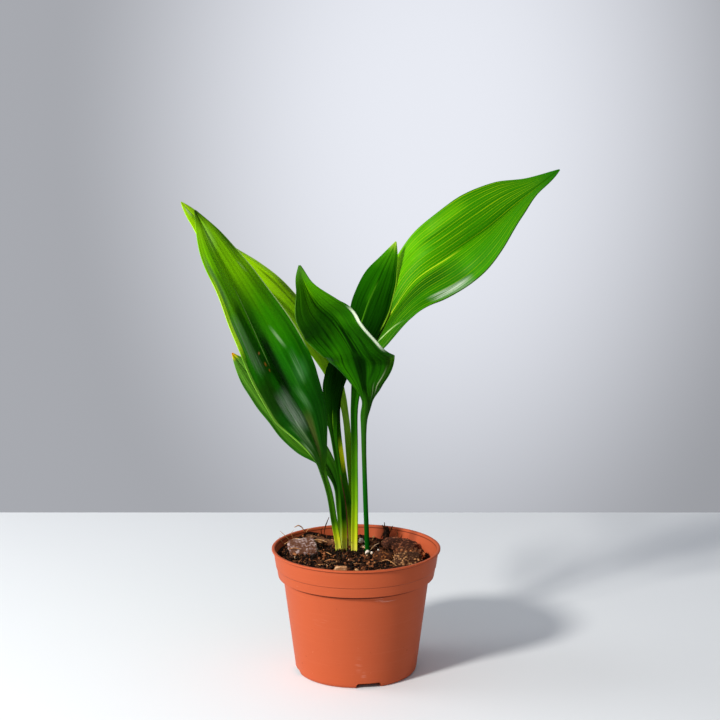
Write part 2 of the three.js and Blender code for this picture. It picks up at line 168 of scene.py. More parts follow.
# How each leaf looks, with colours as the 8-bit values that a screen shows. "greens" are its
# colours from the foot of the blade, 0, to its tip, 1. "dark" and "pale" are the strengths of its
# dark furrow streaks, which are painted shade, and of its veins of the colour "vein". "lines" are
# the number of fine lines in each half, their strength and their colour: dark lines are painted
# shade of thin furrows and pale ones are veins. "light" is the share of light that comes through,
# in the colour "through". "foot" gives colours by the height over the soil, where 1 is 100 mm, and
# "foot_top" is where they end.
# Each stroke is a band from one (length, width) place of the blade to another, where width runs
# from -1 at the left margin to 1 at the right one: its half width, the share of that which is
# solid, its colour and its strength. Some strokes are real streaks and specks, and many are
# painted shade and painted light, as their comments say. Sheen strokes are painted sheen, pale
# bands in fine brushed lines, which also get a little real coat gloss.
PALE_FOOT = (
    (0, (225, 226, 90)), (0.1, (215, 224, 35)), (0.18, (130, 178, 12)), (0.27, (26, 95, 8)),
)
LEAF_LOOKS = {
    "leaf_front_left": {
        "greens": (
            (0, (50, 100, 8)), (0.12, (24, 84, 7)), (0.25, (18, 92, 6)), (0.45, (30, 116, 4)),
            (0.6, (60, 150, 4)), (0.78, (132, 204, 5)), (0.94, (132, 198, 15)), (1, (25, 40, 10)),
        ),
        "dark": 0.35, "pale": 0.15, "lines": (13, 0.22, (10, 60, 4)), "vein": (110, 185, 20),
        "through": (120, 205, 10), "light": 0.18, "specular": 0.04, "roughness": 0.34,
        "foot": PALE_FOOT,
        "foot_top": 0.26,
        "strokes": (
            (0.97, 0.9, 0.78, 0.9, 0.14, 0.3, (20, 85, 4), 0.7),
            # painted shade: dark and near-black bands in the fold beside the midrib
            (0.84, -0.72, 0.66, -0.5, 0.18, 0.2, (8, 58, 4), 0.8),
            (0.72, -0.52, 0.38, -0.34, 0.2, 0.4, (5, 42, 3), 0.85),
            (0.68, -0.12, 0.46, 0, 0.16, 0.1, (10, 60, 4), 0.7),
            (0.56, 0.02, 0.29, -0.05, 0.2, 0.3, (2, 16, 1), 1),
            (0.5, -0.22, 0.28, -0.06, 0.17, 0.4, (2, 14, 1), 1),
            (0.3, 0.6, 0.02, 0.6, 0.45, 0.3, (8, 62, 5), 0.6),
            (0.46, -0.72, 0.26, -0.72, 0.34, 0.4, (26, 58, 4), 0.85),
            # painted sheen: grey-green patches near the left margin and on the right half
            (0.88, -0.85, 0.66, -0.78, 0.13, 0.3, (95, 135, 80), 0.7),
            (0.42, 0.62, 0.3, 0.5, 0.32, 0, (75, 145, 75), 0.55),
            (0.56, 0.33, 0.45, 0.48, 0.06, 0.3, (170, 210, 150), 0.6),
            (0.8, 0.55, 0.735, 0.68, 0.06, 0.3, (160, 205, 110), 0.6),
            (0.97, 0.1, 0.84, -0.1, 0.36, 0.1, (150, 200, 90), 0.65),
            (0.92, -0.55, 0.66, -0.4, 0.4, 0.3, (104, 190, 4), 0.6),
            (0.75, -0.05, 0.42, -0.25, 0.024, 0.5, (165, 205, 110), 0.95),
            (0.25, 0.12, 0.02, 0.05, 0.22, 0.2, (120, 100, 60), 0.4),
            (0.507, -0.42, 0.493, -0.42, 0.05, 0.5, (205, 120, 70), 0.9),
            (0.467, -0.38, 0.445, -0.37, 0.04, 0.5, (190, 100, 40), 0.9),
            (0.437, -0.34, 0.422, -0.33, 0.04, 0.5, (195, 110, 40), 0.9),
            (0.16, -0.86, 0.05, -0.8, 0.1, 0.3, (150, 190, 130), 0.6),
            # partly painted light: the pale curled left margin, made to glow bright yellow-green
            (0.82, -0.97, 0.5, -0.97, 0.1, 0.6, (190, 245, 40), 0.95),
            (0.55, -1, 0.04, -1, 0.07, 0.6, (135, 195, 60), 0.9),
            (0.95, 1, 0.4, 1, 0.04, 0.6, (200, 230, 150), 0.8),
        ),
        # painted sheen: grey-white brushed bands on both halves
        "painted_sheens": (
            (0.68, -0.8, 0.42, -0.6, 0.2, 0.4, (115, 138, 105), 0.8),
            (0.37, -0.34, 0.15, -0.3, 0.36, 0.4, (172, 188, 165), 0.95),
            (0.24, -0.58, 0.07, -0.5, 0.3, 0.2, (120, 150, 100), 0.7),
            (0.46, 0.56, 0.3, 0.5, 0.1, 0.2, (120, 170, 110), 0.7),
            (0.34, 0.2, 0.2, 0.3, 0.14, 0.2, (95, 150, 85), 0.6),
        ),
    },
    "leaf_back_left": {
        # partly painted light: the bright lime greens from 0.66 to 0.84 are lifted above the young leaf's
        # own green where leaf_front_left shades it
        "greens": (
            (0, (110, 155, 50)), (0.15, (95, 140, 12)), (0.48, (118, 176, 10)), (0.66, (195, 255, 3)),
            (0.84, (205, 255, 3)), (0.93, (165, 225, 15)), (1, (185, 225, 35)),
        ),
        "dark": 0.12, "pale": 0.2, "lines": (7, 0.3, (70, 112, 6)), "vein": (205, 230, 110),
        "through": (200, 240, 20), "light": 0.3, "specular": 0.02, "roughness": 0.42,
        "foot": (
            (0, (120, 135, 45)), (0.3, (62, 112, 10)), (0.7, (55, 112, 8)), (1, (75, 135, 12)),
        ),
        "foot_top": 1,
        "strokes": (
            (0.99, -0.3, 0.93, -0.3, 0.4, 0.3, (235, 245, 215), 0.6),
            (0.6, 0.8, 0.35, 0.75, 0.35, 0.3, (48, 82, 5), 0.85),
            (0.66, 0.45, 0.4, 0.35, 0.08, 0.3, (48, 82, 5), 0.7),
            (0.8, 0.97, 0.3, 0.97, 0.06, 0.4, (205, 232, 90), 0.8),
            (0.72, -0.5, 0.3, -0.5, 0.5, 0.5, (165, 225, 30), 0.5),
        ),
        "painted_sheens": (),
    },
    "leaf_low_left": {
        "greens": (
            (0, (28, 78, 8)), (0.12, (38, 92, 8)), (0.3, (62, 122, 15)), (0.6, (85, 145, 35)),
            (0.955, (95, 152, 45)), (0.978, (205, 205, 15)), (0.99, (240, 180, 20)),
            (1, (235, 120, 20)),
        ),
        "dark": 0.3, "pale": 0.2, "lines": (7, 0.35, (35, 90, 10)), "vein": (150, 195, 100),
        "through": (120, 190, 30), "light": 0.1, "specular": 0.03, "roughness": 0.4,
        "foot": ((0, (185, 190, 80)), (0.2, (70, 120, 12)), (0.5, (26, 82, 8))),
        "foot_top": 0.6,
        "strokes": ((0.9, -0.95, 0.1, -0.95, 0.12, 0.3, (20, 85, 10), 0.7),),
        "painted_sheens": (),
    },
    "leaf_inner_short": {
        # painted shade: near-black greens and lines stand for the shade that the other leaves cast on this
        # one
        "greens": (
            (0, (30, 82, 5)), (0.2, (8, 42, 2)), (0.5, (3, 24, 1)), (1, (3, 22, 1)),
        ),
        "dark": 0.4, "pale": 0.1, "lines": (5, 0.4, (1, 12, 0)), "vein": (60, 110, 20),
        "through": (30, 80, 5), "light": 0.01, "specular": 0, "roughness": 0.5,
        "foot": PALE_FOOT,
        "foot_top": 0.26,
        "strokes": ((0.22, 0.1, 0.01, 0, 0.12, 0.3, (95, 145, 25), 0.6),),
        "painted_sheens": (),
    },
    "leaf_upright": {
        "greens": (
            (0, (8, 36, 2)), (0.4, (7, 40, 2)), (0.55, (14, 62, 2)), (0.8, (28, 92, 2)),
            (0.93, (60, 132, 8)), (1, (150, 190, 50)),
        ),
        "dark": 0.45, "pale": 0.12, "lines": (6, 0.65, (5, 38, 1)), "vein": (50, 125, 6),
        "through": (90, 170, 2), "light": 0.03, "specular": 0, "roughness": 0.5,
        "foot": (
            # the near-white start is the stalk's pale foot, partly painted light where it lies in shade;
            # the bright yellow stretch from 0.68 to 0.81 is a painted highlight
            (0, (255, 248, 150)), (0.14, (240, 242, 60)), (0.24, (120, 165, 14)),
            (0.35, (45, 105, 8)), (0.58, (60, 120, 8)), (0.68, (225, 235, 20)), (0.76, (250, 252, 25)),
            (0.81, (150, 190, 15)), (0.88, (50, 110, 8)),
        ),
        "foot_top": 1.1,
        "strokes": (
            (0.74, -0.05, 0.38, -0.1, 0.045, 0.2, (85, 160, 25), 0.75),
            (0.92, -0.12, 0.55, -0.18, 0.1, 0.3, (40, 112, 3), 0.5),
            # painted highlight: a bright yellow-green line along the right margin
            (0.95, 0.99, 0.42, 0.99, 0.07, 0.3, (150, 205, 45), 0.85),
        ),
        "painted_sheens": (),
    },
    "leaf_right": {
        "greens": (
            (0, (26, 90, 3)), (0.25, (32, 106, 3)), (0.42, (66, 152, 2)), (0.6, (54, 138, 2)),
            (0.8, (46, 122, 3)), (1, (30, 100, 3)),
        ),
        "dark": 0.35, "pale": 0.12, "lines": (15, 0.75, (160, 194, 14)), "vein": (150, 185, 15),
        "through": (150, 225, 2), "light": 0.12, "specular": 0.02, "roughness": 0.42,
        "foot": (
            (0, (226, 218, 80)), (0.08, (212, 220, 38)), (0.2, (165, 198, 20)), (0.4, (108, 164, 12)),
            (0.6, (70, 132, 8)), (1, (56, 118, 6)),
        ),
        "foot_top": 1,
        "strokes": (
            (0.62, 0.55, 0.12, 0.55, 0.5, 0.6, (26, 98, 3), 0.75),
            # painted shade: a dark furrow below the midrib
            (0.56, 0.34, 0.22, 0.38, 0.24, 0.4, (12, 80, 3), 0.85),
            (0.95, 0.6, 0.58, 0.6, 0.45, 0.4, (38, 114, 3), 0.65),
            (0.55, -0.65, 0.25, -0.6, 0.5, 0.3, (100, 184, 2), 0.6),
            # painted light: bright bands that lift the shadow that leaf_upright casts on this leaf
            (0.47, -1.1, 0.39, -0.34, 0.16, 0.4, (150, 222, 3), 0.7),
            (0.42, -0.45, 0.26, -0.05, 0.09, 0.4, (170, 232, 4), 0.8),
            (0.97, 0, 0.66, 0.2, 0.3, 0.3, (26, 104, 3), 0.6),
            (0.72, -0.8, 0.5, -0.8, 0.22, 0.2, (98, 176, 3), 0.6),
            (0.62, 0.09, 0.24, -0.03, 0.028, 0.2, (190, 216, 36), 0.8),
            (0.92, 0.99, 0.36, 0.99, 0.03, 0.3, (30, 62, 12), 0.7),
            (0.31, 0.92, 0.16, 0.15, 0.05, 0.3, (195, 225, 150), 0.8),
        ),
        "painted_sheens": (
            # painted sheen: a whitish brushed band near the lower margin
            (0.6, 0.9, 0.4, 0.84, 0.12, 0.3, (205, 220, 198), 0.85),
        ),
    },
    "leaf_front_wavy": {
        "greens": (
            (0, (38, 88, 16)), (0.12, (28, 80, 4)), (0.3, (28, 94, 2)), (0.5, (34, 104, 2)),
            (0.7, (32, 96, 2)), (0.9, (66, 134, 4)), (1, (60, 105, 30)),
        ),
        "dark": 0.7, "pale": 0.2, "lines": (6, 0.85, (5, 36, 1)), "vein": (85, 158, 6),
        "through": (110, 200, 2), "light": 0.05, "specular": 0.01, "roughness": 0.45,
        "foot": ((0, (5, 82, 14)), (1, (25, 95, 10))),
        "foot_top": 0.8,
        "strokes": (
            # painted shade and painted light: the dark upper left part, and the bright band near the tip
            (0.97, -0.8, 0.56, -0.72, 0.45, 0.4, (14, 58, 2), 0.75),
            (0.95, 0.1, 0.8, 0.02, 0.35, 0, (105, 172, 5), 0.7),
            (0.52, -0.45, 0.12, -0.55, 0.26, 0.2, (56, 142, 3), 0.45),
            (0.74, 0.45, 0.6, 0.48, 0.26, 0, (56, 128, 8), 0.5),
            # painted shade: the dark right part, dark furrow lines and the near-black valley near the foot
            (0.62, 0.62, 0.16, 0.55, 0.42, 0.5, (20, 70, 3), 0.6),
            (0.86, 0.1, 0.56, 0.15, 0.07, 0.1, (8, 48, 2), 0.8),
            (0.64, 0.17, 0.36, 0.01, 0.15, 0.4, (3, 26, 1), 1),
            (0.44, 0.04, 0.12, 0.02, 0.22, 0.4, (3, 26, 1), 1),
            (0.6, 0.36, 0.28, 0.13, 0.07, 0.2, (6, 40, 2), 0.8),
            (0.56, 0.66, 0.2, 0.26, 0.08, 0.1, (8, 44, 2), 0.7),
            (0.4, 0.86, 0.16, 0.8, 0.16, 0.2, (36, 62, 12), 0.6),
            (0.36, 0.97, 0.27, 0.97, 0.14, 0.5, (70, 128, 15), 0.8),
            (0.3, 0.78, 0.12, 0.66, 0.04, 0.3, (150, 168, 125), 0.7),
            (0.24, 0.55, 0.08, 0.45, 0.04, 0.3, (130, 155, 105), 0.6),
            # painted highlight: a whitish band along the right margin
            (0.735, 0.98, 0.385, 0.98, 0.08, 0.7, (226, 242, 208), 1),
            (0.9, -1, 0.36, -1, 0.03, 0.5, (90, 140, 50), 0.7),
        ),
        "painted_sheens": (),
    },
}

# Loose pieces on the soil, in millimetres and degrees. "lift" is the height of the centre over the
# soil. "round" runs from a block, 0, to an egg, 1, "grain" from layers, 0, to grains, 1, and
# "ribs" is the strength of ribs across the piece. "colours" are its cracks' and its ridges'.
CHIPS = {
    "bark_left": {
        "at": (-41.5, 10), "lift": 2.4, "size": (21, 18, 4.6), "turn": (26, -4, 12), "round": 0.35,
        "grain": 0.3, "ribs": 0, "roughness": 0.55,
        # partly painted sheen: the pale grey-pink ridge colour and the whitish specks of this chip
        "colours": ((0.13, 0.048, 0.024), (0.62, 0.47, 0.45)), "speck": (0.8, 0.76, 0.78),
        "seed": 3,
    },
    "bark_back_right": {
        "at": (35, 31), "lift": 1.8, "size": (27, 13, 9), "turn": (10, 6, -20), "round": 0.6,
        "grain": 0.8, "ribs": 0, "roughness": 0.6,
        "colours": ((0.05, 0.014, 0.006), (0.36, 0.115, 0.048)), "speck": (0.46, 0.19, 0.08),
        "seed": 5,
    },
    "bark_ribbed_right": {
        "at": (42, 12.5), "lift": 2, "size": (20, 10, 7), "turn": (6, 4, -8), "round": 0.55,
        "grain": 0.5, "ribs": 0.8, "roughness": 0.6,
        "colours": ((0.07, 0.02, 0.007), (0.56, 0.2, 0.065)), "speck": (0.55, 0.25, 0.1),
        "seed": 7,
    },
    "bark_front_right": {
        "at": (39.5, -8), "lift": 2.2, "size": (20, 15, 9.5), "turn": (12, -6, 4), "round": 0.75,
        "grain": 1, "ribs": 0, "roughness": 0.6,
        "colours": ((0.05, 0.017, 0.006), (0.56, 0.27, 0.105)), "speck": (0.66, 0.44, 0.24),
        "seed": 9,
    },
    "bark_small": {
        "at": (21, 1), "lift": 1.4, "size": (14, 10, 6), "turn": (8, 5, -10), "round": 0.7,
        "grain": 0.9, "ribs": 0, "roughness": 0.6,
        "colours": ((0.05, 0.014, 0.004), (0.33, 0.11, 0.026)), "speck": (0.35, 0.16, 0.06),
        "seed": 13,
    },
    "twig": {
        "at": (-27.5, 35), "lift": 1.4, "size": (29, 3.4, 3), "turn": (2, 3, -36), "round": 0.4,
        "grain": 0.1, "ribs": 0, "roughness": 0.6,
        "colours": ((0.06, 0.02, 0.008), (0.33, 0.14, 0.055)), "speck": (0.42, 0.27, 0.16), "seed": 17,
    },
    "splinter": {
        "at": (24, 50), "lift": 4.5, "size": (3.4, 5, 12), "turn": (-6, 8, 20), "round": 0.8,
        "grain": 0.7, "ribs": 0, "roughness": 0.7,
        "colours": ((0.016, 0.006, 0.003), (0.12, 0.048, 0.022)), "speck": (0.24, 0.11, 0.05),
        "seed": 19,
    },
    "chip_at_rim": {
        "at": (-11.3, -50), "lift": 2.6, "size": (9, 2.6, 12), "turn": (14, 0, 6), "round": 0.3,
        "grain": 0.15, "ribs": 0, "roughness": 0.6,
        "colours": ((0.56, 0.27, 0.12), (0.86, 0.58, 0.34)), "speck": (0.9, 0.66, 0.44),
        "seed": 23,
    },
}


# Settings that the sidebar shows


class PotSettings(bpy.types.PropertyGroup):
    """Sizes and colour of the pot"""

    rim_radius: bpy.props.FloatProperty(
        name="Rim radius", description="Outer radius of the lip", default=POT_HIGH.x, unit="LENGTH"
    )
    height: bpy.props.FloatProperty(
        name="Height", description="Height of the pot from its foot to its rim", default=POT_HIGH.z,
        unit="LENGTH",
    )
    wall: bpy.props.FloatProperty(
        name="Wall", description="Thickness of the plastic", default=1.8 * MM, unit="LENGTH"
    )
    colour: bpy.props.FloatVectorProperty(
        name="Colour", description="Colour of the plastic", default=(0.470, 0.090, 0.032), subtype="COLOR"
    )


class SoilSettings(bpy.types.PropertyGroup):
    """Surface of the potting mix and what lies on it"""

    crumbs: bpy.props.IntProperty(
        name="Crumbs", description="Number of larger crumbs of bark on the surface", default=1150
    )
    crumb_size: bpy.props.FloatProperty(
        name="Crumb size", description="Radius of an average crumb", default=0.95 * MM, unit="LENGTH"
    )
    grit: bpy.props.IntProperty(
        name="Grit", description="Number of fine grains between the crumbs", default=5600
    )
    fibres: bpy.props.IntProperty(
        name="Fibres", description="Number of thin fibres and slivers", default=110
    )
    seed: bpy.props.IntProperty(
        name="Seed", description="Start of the random draws for the litter", default=4
    )


class LeafSettings(bpy.types.PropertyGroup):
    """Form of every leaf"""

    thickness: bpy.props.FloatProperty(
        name="Blade thickness", description="Thickness at the margins", default=0.55 * MM, unit="LENGTH"
    )
    keel: bpy.props.FloatProperty(
        name="Keel", description="How far the midrib stands out behind", default=1.0 * MM, unit="LENGTH"
    )
    bow: bpy.props.FloatProperty(
        name="Bow", description="Arch of each half, as a share of its width", default=0.1
    )
    pleat: bpy.props.FloatProperty(
        name="Pleat", description="Depth of the lengthwise pleats", default=0.3 * MM, unit="LENGTH"
    )
    columns: bpy.props.IntProperty(
        name="Columns", description="Columns of points in each half of a blade", default=40
    )
    stations: bpy.props.IntProperty(
        name="Stations", description="Cross sections between two rows of a leaf's table", default=14
    )


class StageSettings(bpy.types.PropertyGroup):
    """Floor, lights and camera"""

    floor_colour: bpy.props.FloatVectorProperty(
        name="Floor colour", description="Colour of the plain floor", default=(0.832, 0.86, 0.885),
        subtype="COLOR",
    )
    room_colour: bpy.props.FloatVectorProperty(
        name="Room colour", description="Colour of the light from all round",
        default=(0.90, 0.925, 1.0), subtype="COLOR",
    )
    room_strength: bpy.props.FloatProperty(
        name="Room strength", description="Strength of the light from all round", default=0.40
    )
    wall_strength: bpy.props.FloatProperty(
        name="Wall strength", description="Brightness of the room right behind the plant", default=0.90
    )
    key_power: bpy.props.FloatProperty(
        name="Key power", description="Power of the light at the front left", default=42.0, unit="POWER"
    )
    side_power: bpy.props.FloatProperty(
        name="Side power", description="Power of the large light at the left", default=9.0, unit="POWER"
    )


# Shader terms


def screen(colour):
    """A linear colour from the 8-bit values that a screen shows"""
    values = [value / 255 for value in colour]
    return tuple(v / 12.92 if v < 0.04045 else ((v + 0.055) / 1.055) ** 2.4 for v in values)


class Term:
    """A number that varies over a surface: sums and products of terms add Math nodes"""

    def __init__(self, finish, socket):
        self.finish = finish
        self.socket = socket

    def other(self, name):
        """Another output of the same node"""
        return Term(self.finish, self.socket.node.outputs[name])

    def maths(self, operation, *values):
        return self.finish.add("ShaderNodeMath", {"operation": operation}, values)

    def __add__(self, value):
        return self.maths("ADD", self, value)

    __radd__ = __add__

    def __mul__(self, value):
        return self.maths("MULTIPLY", self, value)

    __rmul__ = __mul__

    def __sub__(self, value):
        return self.maths("SUBTRACT", self, value)

    def __rsub__(self, value):
        return self.maths("SUBTRACT", value, self)

    def __pow__(self, value):
        return self.maths("POWER", self, value)

    def __abs__(self):
        return self.maths("ABSOLUTE", self)

    def cosine(self):
        return self.maths("COSINE", self)

    def largest(self, value):
        return self.maths("MAXIMUM", self, value)

    def smallest(self, value):
        return self.maths("MINIMUM", self, value)

    def step(self, low, high):
        """0 below low, 1 above high and a smooth rise between; falls if low is above high"""
        settings = {"interpolation_type": "SMOOTHSTEP"}
        if low < high:
            return self.finish.add("ShaderNodeMapRange", settings, (self, low, high, 0, 1))
        return self.finish.add("ShaderNodeMapRange", settings, (self, high, low, 1, 0))

    def band(self, low, high, soft):
        """1 between low and high, with soft ends"""
        return self.step(low, low + soft) * self.step(high, high - soft)


class Finish:
    """A material, or the room's light, and the nodes that are added to it"""

    def __init__(self, owner):
        kind = "ShaderNodeOutputMaterial"
        if isinstance(owner, bpy.types.World):
            kind = "ShaderNodeOutputWorld"
        else:
            owner = bpy.data.materials.new(owner)
        owner.use_nodes = True
        self.owner = owner
        self.tree = owner.node_tree
        self.tree.nodes.clear()
        self.output = self.tree.nodes.new(kind)

    def add(self, kind, settings, values=(), output=0):
        """Adds a node, with its settings first and then the values or links of its sockets"""
        node = self.tree.nodes.new(kind)
        for name, setting in settings.items():
            if name == "stops":
                self.set_stops(node.color_ramp, setting)
            else:
                setattr(node, name, setting)
        pairs = values.items() if isinstance(values, dict) else enumerate(values)
        for key, value in pairs:
            if isinstance(value, Term):
                self.tree.links.new(value.socket, node.inputs[key])
            else:
                node.inputs[key].default_value = value
        return Term(self, node.outputs[output])

    @staticmethod
    def set_stops(ramp, stops):
        while len(ramp.elements) < len(stops):
            ramp.elements.new(1)
        for i, (position, colour) in enumerate(stops):
            ramp.elements[i].position = position
            ramp.elements[i].color = (*colour, 1)

    def attribute(self, name):
        return self.add("ShaderNodeAttribute", {"attribute_name": name}, (), "Vector")

    def parts(self, vector):
        x = self.add("ShaderNodeSeparateXYZ", {}, (vector,))
        return x, x.other("Y"), x.other("Z")

    def vector(self, x, y, z):
        return self.add("ShaderNodeCombineXYZ", {}, (x, y, z))

    def place(self):
        """A point's place in the object, in metres"""
        return self.add("ShaderNodeTexCoord", {}, (), "Object")

    def scaled(self, vector, scale):
        return self.add("ShaderNodeVectorMath", {"operation": "MULTIPLY"}, (vector, scale))

    def noise(self, vector, scale=1.0, detail=3.0, roughness=0.5):
        values = {"Vector": vector, "Scale": scale, "Detail": detail, "Roughness": roughness}
        return self.add("ShaderNodeTexNoise", {}, values)

    def mix(self, share, first, second):
        """The first colour with a share of the second laid over it"""
        settings = {"data_type": "RGBA", "clamp_factor": True}
        first, second = [c if isinstance(c, Term) else (*c, 1) for c in (first, second)]
        return self.add("ShaderNodeMix", settings, {0: share, 6: first, 7: second}, 2)

    def ramp(self, share, stops):
        """A colour that changes with share, by stops of a position and a colour"""
        return self.add("ShaderNodeValToRGB", {"stops": stops}, (share,), "Color")

    def bump(self, height, distance, strength=1.0):
        values = {"Height": height, "Distance": distance, "Strength": strength}
        return self.add("ShaderNodeBump", {}, values)

    def surface(self, values, through=None, share=0.0):
        """Ends the material in a Principled shader, with a share of light through it"""
        skin = self.add("ShaderNodeBsdfPrincipled", {}, values)
        if through:
            glow = self.add("ShaderNodeBsdfTranslucent", {}, {"Color": (*through, 1)})
            skin = self.add("ShaderNodeMixShader", {}, (share, skin, glow))
        return self.end(skin)

    def end(self, shader):
        self.tree.links.new(shader.socket, self.output.inputs["Surface"])
        return self.owner


# Mesh helpers


def catmull_rom(points, t):
    """Values at each t, from 0 to 1, of a smooth curve through evenly timed points"""
    points = np.asarray(points, float)
    before = 2 * points[:1] - points[1:2]
    after = 2 * points[-1:] - points[-2:-1]
    p = np.vstack([before, points, after])
    last = len(points) - 1
    place = np.clip(t, 0, 1) * last
    i = np.minimum(place.astype(int), last - 1)
    f = (place - i)[:, None]
    a, b, c, d = p[i], p[i + 1], p[i + 2], p[i + 3]
    return b + 0.5 * f * (c - a + f * (2 * a - 5 * b + 4 * c - d + f * (3 * (b - c) + d - a)))


def unit(vectors):
    return vectors / np.linalg.norm(vectors, axis=-1, keepdims=True)


def smooth_step(x, low, high):
    s = np.clip((x - low) / (high - low), 0, 1)
    return s * s * (3 - 2 * s)


def new_object(name, points, faces, material, marks=None, sharp=math.radians(50)):
    """A smooth mesh object; marks are vectors on its points that its material reads"""
    mesh = bpy.data.meshes.new(name)
    mesh.from_pydata(np.asarray(points).tolist(), [], [tuple(f) for f in faces])
    mesh.validate()
    for key, values in (marks or {}).items():
        layer = mesh.attributes.new(key, "FLOAT_VECTOR", "POINT")
        layer.data.foreach_set("vector", np.asarray(values, np.float32).ravel())
    mesh.shade_smooth()
    mesh.set_sharp_from_angle(angle=sharp)
    mesh.materials.append(material)
    made = bpy.data.objects.new(name, mesh)
    bpy.context.scene.collection.objects.link(made)
    return made


def ring_quads(rings, segments, first=0):
    """Faces between rings of points, which are numbered from the first one on"""
    faces = []
    for low in range(first, first + (rings - 1) * segments, segments):
        for j in range(segments):
            k = (j + 1) % segments
            faces.append((low + j, low + k, low + segments + k, low + segments + j))
    return faces


def turned_faces(rings, segments):
    """Faces of a skin that runs from its first point over rings to its last point"""
    faces = ring_quads(rings, segments, 1)
    low = 1 + (rings - 1) * segments
    for j in range(segments):
        k = (j + 1) % segments
        faces.append((0, 1 + k, 1 + j))
        faces.append((low + j, low + k, low + segments))
    return faces


def points_and_faces(bm):
    """What a new mesh object takes from a bmesh, which is freed"""
    points = np.array([v.co[:] for v in bm.verts])
    faces = [[v.index for v in f.verts] for f in bm.faces]
    bm.free()
    return points, faces


def dress(made, slot, *nodes):
    """Puts a piece on the plant, in the place of the nodes that it stands for"""
    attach(made, "root")
    if nodes:
        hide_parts(*nodes)


class Pile:
    """Many small closed shapes gathered into one mesh, each with its own tint"""

    def __init__(self):
        self.points, self.faces, self.tints, self.count = [], [], [], 0

    def add(self, points, faces, tint):
        self.points.append(np.asarray(points))
        self.faces.append([[i + self.count for i in face] for face in faces])
        self.tints.append(np.tile(tint, (len(points), 1)))
        self.count += len(points)

    def build(self, name, material, sharp=math.radians(60)):
        faces = [face for block in self.faces for face in block]
        marks = {"tint": np.vstack(self.tints)}
        return new_object(name, np.vstack(self.points), faces, material, marks, sharp)


# Leaves

# Forms of a leaf that its settings leave out, in millimetres and degrees
STALK_TURN = 25  # of each side of a stalk round its groove
STALK_DEPTH = 1.35  # from front to back, as a multiple of the half width
STALK_FADE = 6  # extra half width over which the stalk's section fades out
STALK_END = 0.6  # share of the rows beyond which a leaf is all blade
LEAST_HALF_WIDTH = 0.3
GROOVE_DEPTH = 0.35
GROOVE_HALF_WIDTH = 0.7
KEEL_HALF_WIDTH = 1.1
CALM_HALF_WIDTH = 15  # below it the pleats grow shallower
PLEATS = 2.3  # broad pleats in each half
RIPPLES = 5  # waves along a margin
SOIL_TOP = 0.091  # in metres
NARROW_STROKE = 0.1  # strokes of at most this half width have no grain
STROKE_FADE = 0.07  # share of a blade's length over which a stroke fades at its ends
SPOT_BROWN = (105, 62, 20)


